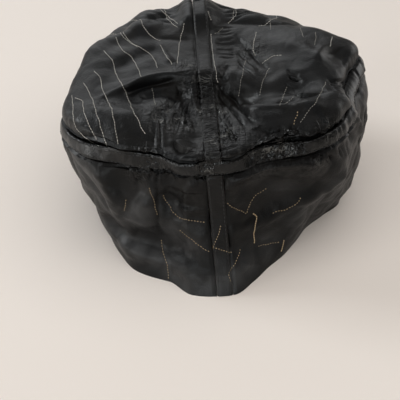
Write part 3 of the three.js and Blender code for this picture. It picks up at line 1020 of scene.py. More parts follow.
@dataclass
class LeatherWall:
    """A wall of leather that is modelled over one solid: a fine grid, sculpted, then thickened.

    Attributes:
        node: the solid that it stands for.
        half: the half of the cap that it is on.
        finish: its leather.
        slot: the record's slot of that leather.
        rows: how many faces the grid has along the cap.
        columns: how many faces it has across.
        wall: its thickness in millimetres.
        folds: the folds that are sculpted in it.
        depth: how deep its folds are, as a share of the depth that they are given.
        facets: the height of its broad facets, in millimetres.
        lumps: the height of its soft lumps.
        crinkle: the height of its crinkles where it is worn.
        outer: the places of its outer side, in metres, once it is built.
    """

    node: str
    half: Half
    finish: "Leather"
    # slot: the record's slot of that leather; it is not used.
    slot: str
    rows: int
    columns: int
    wall: float = 2.0
    folds: Sequence[Fold] = ()
    depth: float = 1.0
    facets: float = 0.8
    lumps: float = 0.24
    crinkle: float = 0.35
    outer: np.ndarray = field(init=False)

    def outer_grid(self) -> Grid:
        """The wall's outer surface before it is sculpted."""
        raise NotImplementedError

    def topstitching(self) -> list[np.ndarray]:
        """The places of each line that is sewn along the wall's edges, once it is built."""
        return []

    def build(self, solids: Surface, material: bpy.types.Material) -> bpy.types.Object:
        """Models the wall.

        Args:
            solids: the solids that the folds are cast on.
            material: the leather's material.

        Returns:
            The finished piece.
        """
        grid = self.outer_grid()
        normals = grid_normals(grid.places, grid.outwards).reshape(-1, 3)
        places = grid.places.reshape(-1, 3) * MM + np.array(MIDDLE)
        worn = strongest(WORN_PATCHES, places, solids)
        # Painted light: how grey each point is painted where light falls, from 0 to 1.
        painted_light = strongest(PAINTED_LIGHT_PATCHES, places, solids)
        relief = self.sculpt(places, worn, solids) * grid.let_in.ravel() + grid.seams.ravel()
        places = places + normals * relief[:, None] * MM
        self.outer = places.reshape(grid.places.shape)
        piece = self.add_sheet(places, normals, {"worn": worn, "painted_light": painted_light})
        self.thicken(piece)
        piece.data.materials.clear()
        piece.data.materials.append(material)
        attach(piece, "root")
        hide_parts(self.node)
        LOG.info("%s: %d faces", piece.name, len(piece.data.polygons))
        return piece

    def sculpt(self, places: np.ndarray, worn: np.ndarray, solids: Surface) -> np.ndarray:
        """The relief of the leather.

        Args:
            places: places on the wall, in metres.
            worn: how worn the leather is there.
            solids: the solids that the folds are cast on.

        Returns:
            The relief at each place, in millimetres.
        """
        total = sum((fold.heights(places, solids) for fold in self.folds), np.zeros(len(places)))
        total *= self.depth
        total += self.facets * crumple(places, FACET_SIZE, 0, sharp=True)
        total += self.lumps * crumple(places, LUMP_SIZE, 5, sharp=False)
        return total + self.crinkle * worn * crumple(places, CRINKLE_SIZE, 9, sharp=True)

    def add_sheet(
        self, places: np.ndarray, normals: np.ndarray, looks: dict[str, np.ndarray]
    ) -> bpy.types.Object:
        """Adds a flat grid, moves its points to the wall's places and turns its faces outwards.

        Args:
            places: the places in metres, by row and then by column.
            normals: the wall's directions, in the same order.
            looks: the attributes that the leather's material reads, in the same order.

        Returns:
            The new piece, one face thick, with its pole closed.
        """
        bpy.ops.object.select_all(action="DESELECT")
        bpy.ops.mesh.primitive_grid_add(
            x_subdivisions=self.rows, y_subdivisions=self.columns, size=1, location=(0, 0, 0)
        )
        piece = bpy.context.object
        piece.name = f"{self.node}_leather"
        flat = coordinates(piece)
        row = np.rint((flat[:, 0] + 0.5) * self.rows).astype(int)
        column = np.rint((flat[:, 1] + 0.5) * self.columns).astype(int)
        order = row * (self.columns + 1) + column
        set_coordinates(piece, places[order])
        for name, amounts in looks.items():
            attribute = piece.data.attributes.new(name, "FLOAT", "POINT")
            attribute.data.foreach_set("value", amounts[order].astype(np.float32))
        face = piece.data.polygons[len(piece.data.polygons) // 2]
        inside_out = face.normal.dot(Vector(normals[order[face.vertices[0]]])) < 0
        select_only(piece)
        bpy.ops.object.mode_set(mode="EDIT")
        bpy.ops.mesh.select_all(action="SELECT")
        if inside_out:
            bpy.ops.mesh.flip_normals()
        bpy.ops.mesh.remove_doubles(threshold=1e-5)
        bpy.ops.object.mode_set(mode="OBJECT")
        return piece

    def thicken(self, piece: bpy.types.Object) -> None:
        """Gives the wall its thickness inwards, and keeps it on the table."""
        modifier = piece.modifiers.new("solidify", "SOLIDIFY")
        modifier.thickness = self.wall * MM
        modifier.offset = -1
        bpy.ops.object.modifier_apply(modifier=modifier.name)
        places = coordinates(piece)
        places[:, 2] = np.maximum(places[:, 2], 0)
        set_coordinates(piece, places)
        bpy.ops.object.shade_smooth_by_angle(angle=math.radians(50))


@dataclass
class CrownPanel(LeatherWall):
    """One half of the crown, from the middle strip to the edge strip.

    Attributes:
        edge_seam: how it is sewn to the edge strip.
        middle_seam: how it is sewn to the middle strip.
        bulge: how far it swells over the edge seam.
        bulge_at: how far from the seam it swells most.
    """

    depth: float = 1.35
    edge_seam: Seam = Seam(1.1, 1.5, 1.4)
    middle_seam: Seam = Seam(0.6, 1.6, 0.7, unlike=3)
    bulge: float = 0.6
    bulge_at: float = 6.0

    def outer_grid(self) -> Grid:
        """As LeatherWall gives it, with its rows closer together at the back."""
        rear_end, rear_rows = 100, self.rows * 2 // 3
        rear = np.linspace(0, rear_end, rear_rows + 1)
        front = np.linspace(rear_end, 180, self.rows - rear_rows + 1)[1:]
        turns = np.concatenate((rear, front))
        over_peak = smooth(turns, CORNER_TURN - 10, CORNER_TURN + 2)[:, None]
        sections = SECTIONS[self.half]
        cuts = sections.cut(sections.crown, turns, self.columns - len(LIP))
        cuts = cuts.with_lip(-1, over_peak)
        places = cuts.places()
        away = np.hypot(places[..., 0], places[..., 1])[..., None]
        outwards = places * np.array((1, 1, 0)) / np.maximum(away, 1)
        top_ends, wall_starts = 0.3, 0.9
        outwards[..., 2] = 1 - smooth(cuts.length / cuts.length[:, -1:], top_ends, wall_starts)
        below = cuts.to_end()
        beside = np.abs(places[..., 0]) - APART
        seams = self.edge_seam.turn_in(below) + self.middle_seam.turn_in(beside)
        seams += self.bulge * (below / self.bulge_at) * np.exp(1 - below / self.bulge_at)
        under_strip, corner, strip_side = 3, 14, 7
        puckers = self.edge_seam.puckers(cuts.around(), below, self.half)
        seams += puckers * smooth(below, 0, under_strip)
        puckers = self.middle_seam.puckers(cuts.length, beside, self.half)
        seams += puckers * smooth(below, 0, corner)
        return Grid(places, outwards, seams, mix(0.5, 1, smooth(beside, 0, strip_side)))


@dataclass
class SidePanel(LeatherWall):
    """One side panel, from the rim to the edge strip.

    Attributes:
        edge_seam: how it is sewn to the edge strip.
        middle_seam: how it is sewn to the back strip.
        hem: how far up from the rim the seams' relief sets in.
        rim: how far up the folds do.
    """

    facets: float = 1.44
    depth: float = 1.6
    edge_seam: Seam = Seam(1.4, 2.2, 1.1, crowding=0.7)
    middle_seam: Seam = Seam(1.2, 2.0)
    hem: float = 3.0
    rim: float = 12.0

    def outer_grid(self) -> Grid:
        """As LeatherWall gives it."""
        turns = np.linspace(0, CORNER_TURN, self.rows + 1)
        end_gap = STRIP_WIDTH + 2 * SEAM_GAP
        sections = SECTIONS[self.half]
        cuts = sections.cut(sections.side, turns, self.columns - len(LIP), 0, end_gap)
        cuts = cuts.with_lip(1)
        places = cuts.places()
        below = cuts.to_end()
        beside = np.abs(places[..., 0]) - APART
        seams = self.edge_seam.turn_in(below) + self.middle_seam.turn_in(beside)
        seams += self.edge_seam.puckers(cuts.around(), below, self.half)
        seams *= smooth(cuts.length, 0, self.hem)
        return Grid(places, places * np.array((1, 1, 0)), seams, smooth(cuts.length, 0, self.rim))


@dataclass
class Strip(LeatherWall):
    """A flat strip over a seam, turned under along both edges.

    Attributes:
        plump: how much further its middle stands proud than its solid's.
        turned: how far its edges turn down.
        inset: how far in its topstitching is, as a share of its width.
    """

    wall: float = 2.4
    plump: float = 0.3
    turned: float = 1.1
    inset: float = 0.14

    def topstitching(self) -> list[np.ndarray]:
        """As LeatherWall gives it: a line along either edge."""
        inset = round(self.columns * self.inset)
        return [self.outer[:, inset], self.outer[:, self.columns - inset]]

    def pillow(self, across: np.ndarray) -> np.ndarray:
        """How the strip stands proud across its width; across goes from -1 to 1."""
        return STRIP_PROUD + self.plump - self.turned * np.abs(across) ** 6


@dataclass
class EdgeStrip(Strip):
    """The strip under one half of the crown's edge, from the middle of the back.

    Attributes:
        ripple: its puckers, which cross its whole width.
    """

    ripple: Seam = Seam(0, 1, 0.6, crowding=1.3)

    def outer_grid(self) -> Grid:
        """As LeatherWall gives it."""
        turns = np.concatenate(([0], np.linspace(0, CORNER_TURN, self.rows)))
        sections = SECTIONS[self.half]
        cuts = sections.cut(sections.side, turns, self.columns, -STRIP_WIDTH, SEAM_GAP)
        places = cuts.places()
        places[0, :, 0] = self.half.value * SEAM_GAP / 2
        across = np.broadcast_to(np.linspace(-1, 1, self.columns + 1), cuts.distance.shape)
        seams = self.pillow(across) + self.ripple.puckers(cuts.around(), 0 * across, self.half)
        return Grid(places, places * np.array((1, 1, 0)), seams, np.ones(seams.shape))


class MiddleStrip(Strip):
    """A strip along the cap's middle."""

    def line(self) -> tuple[np.ndarray, np.ndarray]:
        """The strip's own line: distances towards the back, and heights."""
        raise NotImplementedError

    def kept(self, height: np.ndarray) -> np.ndarray:
        """How far the sculpting is let in at each height of the line, from 0 to 1."""
        return np.ones(height.shape)

    def outer_grid(self) -> Grid:
        """As LeatherWall gives it."""
        rise_of_outwards = 60.0
        back, height = self.line()
        across = np.linspace(-1, 1, self.columns + 1)
        x, y = np.meshgrid(across * STRIP_WIDTH / 2, back, indexing="xy")
        places = np.stack((x, y, np.broadcast_to(height[:, None], x.shape)), axis=-1)
        outwards = np.stack((0 * x, y, np.full(x.shape, rise_of_outwards)), axis=-1)
        seams = self.pillow(np.broadcast_to(across, x.shape))
        return Grid(places, outwards, seams, np.broadcast_to(self.kept(height)[:, None], x.shape))


class TopStrip(MiddleStrip):
    """The strip over the crown's middle seam, from the back over the top to the front."""

    def line(self) -> tuple[np.ndarray, np.ndarray]:
        """As MiddleStrip gives it."""
        sections = SECTIONS[self.half]
        cuts = sections.cut(sections.crown, np.array((0.0, 180.0)), self.rows // 2)
        rear, front = cuts.distance
        rear_height, front_height = cuts.height
        back = np.concatenate((rear[::-1], -front[1:]))
        return back, np.concatenate((rear_height[::-1], front_height[1:]))


@dataclass
class BackStrip(MiddleStrip):
    """The strip over the back seam, from the rim to the edge strips.

    Attributes:
        rim: how far up the folds set in.
    """

    rim: float = 12.0

    def line(self) -> tuple[np.ndarray, np.ndarray]:
        """As MiddleStrip gives it."""
        sections = SECTIONS[self.half]
        rows, end_gap = self.rows - len(LIP), STRIP_WIDTH + 2 * SEAM_GAP
        cuts = sections.cut(sections.side, np.zeros(1), rows, 0, end_gap).with_lip(1)
        return cuts.distance[0], cuts.height[0]

    def kept(self, height: np.ndarray) -> np.ndarray:
        """As MiddleStrip gives it."""
        return smooth(height, 0, self.rim)


@dataclass
class Peak(LeatherWall):
    """The stiff peak: a crescent under the front of the crown, in millimetres.

    Attributes:
        front_reach: how far its front is from the cap's middle.
        end_reach: how far its ends are.
        overlap: how far it goes in under the sides.
        bow: how full its crescent is.
        droop: how far its front hangs below its ends.
        gap: the room between it and the crown's edge.
        blend: the share of its half width over which the two sections meet.
        turned: how far its edge is turned down, over the same width.
        groove_depth: how deep the groove along its edge is.
        groove_width: how wide that is.
        groove_inset: how far in it is.
        stitched: the share of the way out where it is topstitched.
    """

    wall: float = 4.0
    facets: float = 0.15
    lumps: float = 0.045
    front_reach: float = 158.0
    end_reach: float = 86.0
    overlap: float = 2.2
    bow: float = 0.9
    droop: float = 21.0
    gap: float = 0.6
    blend: float = 0.125
    turned: float = 1.2
    groove_depth: float = 0.35
    groove_width: float = 1.1
    groove_inset: float = 6.0
    stitched: float = 0.88

    def outer_grid(self) -> Grid:
        """As LeatherWall gives it."""
        across = np.linspace(-1, 1, self.rows + 1)[:, None]
        out = np.linspace(0, 1, self.columns + 1)[None, :]
        turn = mix(180, CORNER_TURN + 1, np.abs(across))
        rim, reach, tuck, edge = (
            np.where(
                across < 0,
                SECTIONS[Half.RIGHT].column(name, turn),
                SECTIONS[Half.LEFT].column(name, turn),
            )
            for name in ("rim", "reach", "tuck", "edge")
        )
        fullness = (1 - across**2) ** self.bow
        inner = rim - self.overlap
        outer = mix(self.end_reach, self.front_reach, fullness)
        under = (reach - tuck - inner) / (outer - inner)
        height = edge - self.gap - self.droop * fullness * (out**2 - under**2)
        distance = mix(inner, outer, out)
        angle = np.radians(turn)
        parted = APART * np.minimum(1, np.abs(across) / self.blend)
        x = np.where(across < 0, -1, 1) * (np.sin(angle) * distance + parted)
        places = np.stack((x, np.cos(angle) * distance, height), axis=-1)
        to_edge = (outer - inner) * (1 - out)
        groove = self.groove_depth * bell(to_edge - self.groove_inset, self.groove_width)
        seams = -self.turned * bell(to_edge, self.turned) - groove
        outwards = np.zeros(places.shape)
        outwards[..., 2] = 1
        return Grid(places, outwards, seams, smooth(to_edge, 0, self.groove_inset))

    def topstitching(self) -> list[np.ndarray]:
        """As LeatherWall gives it: one line along the groove."""
        return [self.outer[:, round(self.columns * self.stitched)]]


class Signal:
    """A socket's output that takes part in Python's own maths."""

    def __init__(self, bench: "Bench", socket: bpy.types.NodeSocket) -> None:
        """Keeps the socket and the bench that its maths nodes go on."""
        self.bench = bench
        self.socket = socket

    def maths(self, operation: str, *values: Any) -> "Signal":
        """A Math node on some values."""
        inputs = dict(enumerate(values))
        return self.bench.make("ShaderNodeMath", {"operation": operation}, inputs)

    def __add__(self, other: Any) -> "Signal":
        """self + other"""
        return self.maths("ADD", self, other)

    def __sub__(self, other: Any) -> "Signal":
        """self - other"""
        return self.maths("SUBTRACT", self, other)

    def __rsub__(self, other: Any) -> "Signal":
        """other - self"""
        return self.maths("SUBTRACT", other, self)

    def __mul__(self, other: Any) -> "Signal":
        """self * other"""
        return self.maths("MULTIPLY", self, other)

    def __pow__(self, other: Any) -> "Signal":
        """self ** other"""
        return self.maths("POWER", self, other)

    def __abs__(self) -> "Signal":
        """abs(self)"""
        return self.maths("ABSOLUTE", self)

    __radd__ = __add__
    __rmul__ = __mul__


class Bench:
    """Where one material's nodes are made."""

    def __init__(self, name: str) -> None:
        """Starts a material with its shader and the place on the piece.

        Args:
            name: the material's name.
        """
        self.material = bpy.data.materials.new(name)
        self.material.use_nodes = True
        self.tree = self.material.node_tree
        self.shader = self.tree.nodes["Principled BSDF"]
        self.place = self.make("ShaderNodeTexCoord", output=3)

    def make(
        self,
        kind: str,
        settings: dict[str, Any] | None = None,
        inputs: dict[Any, Any] | None = None,
        output: int = 0,
    ) -> Signal:
        """Makes a node.

        Args:
            kind: the node's type.
            settings: what is set on the node itself.
            inputs: a value or a signal for each named or numbered socket.
            output: which output to give back.

        Returns:
            The node's output.
        """
        node = self.tree.nodes.new(kind)
        for name, value in (settings or {}).items():
            setattr(node, name, value)
        for key, value in (inputs or {}).items():
            self.feed(node.inputs[key], value)
        return Signal(self, node.outputs[output])

    def feed(self, socket: bpy.types.NodeSocket, value: Any) -> None:
        """Links a signal to a socket, or sets its value."""
        if isinstance(value, Signal):
            self.tree.links.new(value.socket, socket)
        else:
            socket.default_value = value

    def dress(self, **sockets: Any) -> None:
        """Feeds the shader; a name's underscores stand for the spaces in a socket's name."""
        for name, value in sockets.items():
            self.feed(self.shader.inputs[name.replace("_", " ")], value)

    def colour(self, a: Any, b: Any, share: Any) -> Signal:
        """A mix of two colours."""
        settings = {"data_type": "RGBA"}
        return self.make("ShaderNodeMix", settings, {0: share, 6: a, 7: b}, output=2)

    def attribute(self, name: str) -> Signal:
        """An amount that is kept on the piece's points."""
        return self.make("ShaderNodeAttribute", {"attribute_name": name}, output=2)

    def lumps(self, scale: float, detail: float = 2, distortion: float = 0) -> Signal:
        """A noise of so many lumps to the metre."""
        inputs = {"Vector": self.place, "Scale": scale, "Detail": detail, "Distortion": distortion}
        return self.make("ShaderNodeTexNoise", None, inputs)

    def cells(self, feature: str, scale: float, place: Signal, **inputs: float) -> Signal:
        """The distance within, or to the edge of, cells of so many to the metre."""
        inputs = {"Vector": place, "Scale": scale, **inputs}
        return self.make("ShaderNodeTexVoronoi", {"feature": feature}, inputs)

    def chance(self, feature: str, scale: float, place: Signal, **inputs: float) -> Signal:
        """A chance value for each such cell."""
        cells = self.cells(feature, scale, place, **inputs)
        colour = Signal(self, cells.socket.node.outputs["Color"])
        return self.make("ShaderNodeSeparateColor", None, {0: colour})

    def ramp(self, value: Signal, low: float, high: float, end: int = 1) -> Signal:
        """A value that goes from 1 - end at low to end at high."""
        inputs = {"Value": value, "From Min": low, "From Max": high}
        inputs |= {"To Min": 1.0 - end, "To Max": float(end)}
        return self.make("ShaderNodeMapRange", None, inputs)

    def shift(self, operation: str, *vectors: Any) -> Signal:
        """A Vector Math node on some vectors."""
        inputs = dict(enumerate(vectors))
        return self.make("ShaderNodeVectorMath", {"operation": operation}, inputs)


@dataclass(frozen=True)
class Leather:
    """A black leather finish.

    Attributes:
        name: the material's name.
        cool: the colour where it leans to blue.
        warm: the colour where it leans to brown.
        painted_light: the grey painted where light falls on facets.
        scuffs_and_glints: the colour of scuff specks, and of painted glints along worn crests.
        roughness: how rough it is.
        polish: how much less rough its worn patches are.
        gloss: how strongly it reflects.
        sheen: the tint of what it reflects.
        grain: the depth of its pebbled grain, in millimetres.
        wrinkles: the depth of its fine wrinkles, in millimetres.
        stretch: the finer wrinkles are drawn out along the axes where this is small.
        cross: the same for the wrinkles that cross them.
        stray: how far the wrinkles stray, in millimetres.
    """

    name: str
    cool: Colour = (0.0036, 0.0041, 0.0048, 1)
    warm: Colour = (0.0062, 0.0053, 0.0044, 1)
    # Painted light: the grey that stands for light on facets.
    painted_light: Colour = (0.046, 0.047, 0.048, 1)
    # Scuff specks, and painted highlight along worn crests.
    scuffs_and_glints: Colour = (0.18, 0.18, 0.17, 1)
    roughness: float = 0.4
    polish: float = 0.2
    gloss: float = 0.21
    sheen: Colour = (0.94, 0.98, 1.0, 1)
    grain: float = 0.12
    wrinkles: float = 0.7
    stretch: Triple = (1.0, 0.22, 0.3)
    cross: Triple = (0.25, 0.8, 0.8)
    stray: float = 6.0

    def material(self) -> bpy.types.Material:
        """Makes the material; the numbers of each pattern's marks are to the metre.

        Returns:
            The leather.
        """
        bench = Bench(self.name)
        worn = bench.attribute("worn")
        strayed = bench.make(
            "ShaderNodeTexNoise", None, {"Vector": bench.place, "Scale": 70, "Detail": 3}, output=1
        )
        bent = bench.shift("MULTIPLY_ADD", strayed, (self.stray * MM,) * 3, bench.place)

        def net(scale: float, stretch: Triple, width: float) -> Signal:
            """A net of lines, 1 along each; stretch draws it out where it is small."""
            drawn = bench.shift("MULTIPLY", bent, stretch)
            return bench.ramp(bench.cells("DISTANCE_TO_EDGE", scale, drawn), 0, width, end=0)

        def base_colour() -> Signal:
            """The dye, with painted light in grey facets, scuff specks, and painted glints along
            worn crests.
            """
            tint = bench.chance("F1", 26, bench.place) * 0.5 + bench.lumps(14) * 0.5
            facet = bench.chance("SMOOTH_F1", 40, bent, Smoothness=0.15)
            # Painted light: grey on lit facets, broken up by cells and lumps.
            painted_light_share = bench.attribute("painted_light") * (0.2 + 0.8 * facet + 0.3 * bench.lumps(90, 3))
            specks = bench.ramp(bench.lumps(520, 3), 0.7, 0.85)
            # Painted highlight: thin pale glint lines along the crests of the fine wrinkles.
            painted_glints = net(190, self.cross, 0.05) + net(260, self.stretch, 0.05)
            broken = bench.ramp(bench.lumps(110, 3), 0.52, 0.62)
            base = bench.colour(self.cool, self.warm, tint)
            base = bench.colour(base, self.painted_light, painted_light_share)
            base = bench.colour(base, self.scuffs_and_glints, specks * 0.15)
            # Painted highlight: the glint lines, shown where the leather is worn; the specks above
            # are scuffs.
            return bench.colour(base, self.scuffs_and_glints, painted_glints * broken * worn * worn * 1.4)

        def relief() -> Signal:
            """The pebbled grain, with creases and fine lines where it is worn."""
            grain = bench.cells("F1", 1000, bench.place)
            creases = net(230, self.stretch, 0.16) + 0.7 * net(330, self.cross, 0.18)
            fine = 1 - abs(bench.lumps(420, 3, 0.8) * 2 - 1)
            height = grain * self.grain - creases * (self.wrinkles * (0.02 + worn))
            return height - fine**5 * (0.3 * self.wrinkles * (0.2 + 0.5 * worn))

        bump = {"Strength": 1.0, "Distance": MM, "Height": relief()}
        bench.dress(
            Base_Color=base_colour(),
            Roughness=self.roughness + 0.16 * (bench.lumps(60, 3) - 0.5) - self.polish * worn,
            Normal=bench.make("ShaderNodeBump", None, bump),
            Specular_IOR_Level=self.gloss,
            Specular_Tint=self.sheen,
        )
        return bench.material


@dataclass(frozen=True)
class Thread:
    """A sewing thread's finish and its stitch.

    Attributes:
        name: the material's name.
        colour: its colour.
        length: a stitch's length, in millimetres.
        space: the space to the next stitch.
        radius: the thread's radius.
        wander: how far its lines stray, in millimetres.
    """

    name: str
    colour: Colour
    length: float
    space: float
    radius: float
    wander: float = 0.9

    def material(self) -> bpy.types.Material:
        """Makes the thread's material, darker where it is dirty."""
        bench = Bench(self.name)
        dirty = tuple(c * 0.45 for c in self.colour[:3]) + (1,)
        base = bench.colour(dirty, self.colour, bench.lumps(300))
        bench.dress(Base_Color=base, Roughness=0.75)
        return bench.material


PALE = Thread("pale_thread", (0.66, 0.64, 0.58, 1), 2.0, 0.35, 0.25)
FINE = Thread("fine_thread", (0.50, 0.48, 0.43, 1), 1.3, 0.7, 0.2)
GOLD = Thread("gold_thread", (0.66, 0.50, 0.30, 1), 1.1, 1.1, 0.29)
BRIGHT = Thread("bright_gold_thread", (0.80, 0.62, 0.38, 1), 1.5, 0.3, 0.45)
BLACK = Thread("black_thread", (0.02, 0.02, 0.021, 1), 2.6, 0.9, 0.3, 0.2)

# The lines of stitches on the leather, by their thread and by how they are given. Those that
# are not in pixels are where the photograph does not reach.
STITCH_LINES = (
    (PALE, Aim.PHOTO, (
        ((72, 95), (73, 108), (74, 122), (81, 134), (100, 147)),
        ((75, 98), (82, 101), (84, 112), (89, 124), (97, 141)),
        ((84, 83), (92, 98), (96, 112), (103, 134), (107, 146)),
        ((94, 71), (100, 77), (102, 89), (107, 99), (112, 111), (118, 144)),
        ((104, 51), (113, 62), (116, 74), (124, 88), (131, 106), (146, 136)),
        ((116, 37), (121, 48), (130, 56), (137, 66), (142, 78)),
        ((123, 32), (130, 42), (143, 49), (152, 56), (158, 69)),
        ((160, 9), (170, 18), (179, 24)),
        ((184, 24), (181, 36), (179, 50), (177, 64)),
        ((160, 45), (165, 54), (172, 65)),
        ((211, 34), (213, 55), (216, 72), (218, 84)),
        ((208, 11), (211, 22)),
        ((256, 32), (253, 48), (256, 57)),
        ((281, 55), (271, 57), (262, 64)),
        ((332, 37), (330, 47)),
    )),
    (FINE, Aim.PHOTO, (
        ((152, 88), (155, 106)),
        ((234, 10), (233, 20)),
        ((223, 28), (215, 34)),
        ((270, 68), (263, 80), (260, 96)),
        ((246, 60), (242, 76), (238, 97)),
        ((287, 87), (279, 106)),
        ((294, 97), (285, 104)),
        ((270, 18), (271, 30)),
        ((300, 28), (304, 38)),
        ((316, 32), (315, 45)),
        ((326, 82), (321, 93), (312, 107), (300, 123)),
    )),
    (GOLD, Aim.PHOTO, (
        ((298, 112), (293, 127)),
        ((149, 188), (153, 198), (157, 215)),
        ((126, 200), (124, 211)),
        ((163, 195), (174, 213), (184, 219), (206, 223)),
        ((180, 230), (192, 240), (203, 248), (211, 252)),
        ((161, 240), (164, 254), (168, 268), (169, 281)),
        ((221, 226), (217, 238), (213, 247)),
        ((213, 247), (224, 251), (232, 253)),
        ((227, 203), (234, 208), (247, 213)),
        ((247, 212), (250, 203), (257, 194), (268, 188)),
        ((272, 213), (286, 209), (296, 204), (300, 196)),
        ((258, 246), (280, 241)),
        ((240, 249), (236, 262), (229, 273), (230, 281)),
    )),
    (BRIGHT, Aim.PHOTO, (
        ((253, 214), (257, 217), (254, 229), (254, 245)),
        ((284, 240), (281, 252)),
    )),
    (PALE, ABOVE, (
        ((34, -40), (46, -52), (52, -70), (66, -84)),
        ((52, -30), (64, -44), (70, -60), (84, -70)),
        ((20, -56), (28, -72), (30, -90), (40, -106)),
        ((-22, -60), (-30, -74), (-28, -92)),
        ((-46, -50), (-60, -62), (-66, -80)),
    )),
    (PALE, ROUND, (
        ((136, 96), (140, 80), (138, 62), (144, 46)),
        ((158, 90), (160, 72), (156, 56)),
        ((-134, 92), (-140, 76), (-136, 58)),
        ((-156, 96), (-160, 80), (-158, 60), (-164, 46)),
    )),
    (GOLD, ROUND, (
        ((78, 70), (86, 58), (84, 40), (92, 26)),
        ((100, 50), (108, 40), (118, 36)),
        ((-84, 78), (-92, 66), (-90, 46), (-98, 30)),
        ((-104, 56), (-112, 44), (-120, 40)),
    )),
)


@dataclass
class Needlework:
    """All the stitches of the cap, one piece for each thread.

    Attributes:
        leather: the finished leather that the stitches are sewn on.
        stitches: where each thread's stitches go.
        proud: how far a stitch's middle is out of the leather, as a share of its radius.
        strays: the length over which a line strays once, in millimetres.
        shortest: a stitch that would be shorter than this share of its length is left out.
        longest: and so is one that would be longer than this share.
    """

    leather: Surface
    stitches: dict[Thread, list[Matrix]] = field(default_factory=dict)
    proud: float = 0.35
    strays: float = 5.0
    shortest: float = 0.3
    longest: float = 1.6

    def sew(self, thread: Thread, line: np.ndarray) -> None:
        """Lays stitches along a line, but none across a gap or a sharp turn of it.

        Args:
            thread: the thread.
            line: rows of a place and a normal, in metres.
        """
        if len(line) < 2:
            return
        places, normals = line[:, :3], line[:, 3:]
        drift = [chance_way(Vector(place) / (self.strays * MM)) for place in places]
        wander = np.array(drift) * thread.wander * MM
        places = places + wander - np.sum(wander * normals, axis=1)[:, None] * normals
        lengths = np.linalg.norm(np.diff(places, axis=0), axis=1)
        passed = np.concatenate(([0], np.cumsum(lengths)))
        length, pitch = thread.length * MM, (thread.length + thread.space) * MM
        for start in np.arange(0, passed[-1] - length, pitch):
            first, last = (
                np.array([np.interp(at, passed, values) for values in places.T])
                for at in (start, start + length)
            )
            way = Vector(last - first)
            if not self.shortest * length <= way.length <= self.longest * length:
                continue
            way.normalize()
            normal = Vector(normals[np.searchsorted(passed, start)]).normalized()
            side = normal.cross(way).normalized()
            normal = way.cross(side)
            middle = Vector((first + last) / 2) + normal * thread.radius * self.proud * MM
            turn = Matrix((way, side, normal)).transposed().to_4x4()
            self.stitches.setdefault(thread, []).append(Matrix.Translation(middle) @ turn)

    def follow(self, thread: Thread, places: np.ndarray) -> None:
        """Sews a line of places after moving each onto the leather.

        Args:
            thread: the thread.
            places: the places, in metres, near the leather.
        """
        nearest = (self.leather.tree.find_nearest(Vector(place))[:2] for place in places)
        self.sew(thread, np.array([(*place, *normal) for place, normal in nearest]))

    def finish(self) -> None:
        """Makes one piece of each thread's stitches."""
        for thread, spots in self.stitches.items():
            self.copy_stitch(thread, spots)

    def copy_stitch(self, thread: Thread, spots: list[Matrix]) -> None:
        """Models a stitch and joins its copies.

        Args:
            thread: the thread.
            spots: where the copies go.
        """
        bpy.ops.object.select_all(action="DESELECT")
        bpy.ops.mesh.primitive_uv_sphere_add(segments=7, ring_count=5, radius=1)
        piece = bpy.context.object
        piece.name = f"{thread.name}_stitches"
        bpy.ops.object.mode_set(mode="EDIT")
        bpy.ops.mesh.select_all(action="SELECT")
        bpy.ops.transform.rotate(value=math.pi / 2, orient_axis="Y", center_override=(0, 0, 0))
        size = (thread.length / 2 * MM, thread.radius * MM, thread.radius * MM)
        bpy.ops.transform.resize(value=size, center_override=(0, 0, 0))
        bpy.ops.object.mode_set(mode="OBJECT")
        stitch = coordinates(piece)
        faces = [list(face.vertices) for face in piece.data.polygons]
        turned = [stitch @ np.array(spot.to_3x3()).T + np.array(spot.translation) for spot in spots]
        firsts = range(0, len(stitch) * len(spots), len(stitch))
        copies = [[first + i for i in face] for first in firsts for face in faces]
        mesh = bpy.data.meshes.new(piece.name)
        mesh.from_pydata(np.concatenate(turned).tolist(), [], copies)
        mesh.materials.append(thread.material())
        mesh.shade_smooth()
        piece.data = mesh
        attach(piece, "root")
        LOG.info("%s: %d stitches", piece.name, len(spots))


class Reach(Enum):
    """What a light does to the cap and the table."""

    BOTH = "it lights them and shows in their gloss"
    LIGHT = "it only lights them"
    GLOSS = "it only shows in their gloss"


@dataclass(frozen=True)
class SoftLight:
    """A soft square light that faces the cap.

    Attributes:
        name: its name.
        place: where it is, in metres.
        size: its side.
        power: its power in watts.
        colour: its colour.
        reach: what it does.
    """

    name: str
    place: Triple
    size: float
    power: float
    colour: Triple
    reach: Reach

    def add(self) -> None:
        """Adds the light, aimed at the middle of the cap."""
        bpy.ops.object.light_add(type="AREA", location=self.place)
        lamp = bpy.context.object
        lamp.name = self.name
        aim = Vector((0, 0, 0.06)) - Vector(self.place)
        lamp.rotation_euler = aim.to_track_quat("-Z", "Y").to_euler()
        lamp.data.size = self.size
        lamp.data.energy = self.power
        lamp.data.color = self.colour
        lamp.visible_glossy = self.reach is not Reach.LIGHT
        lamp.visible_diffuse = self.reach is not Reach.GLOSS


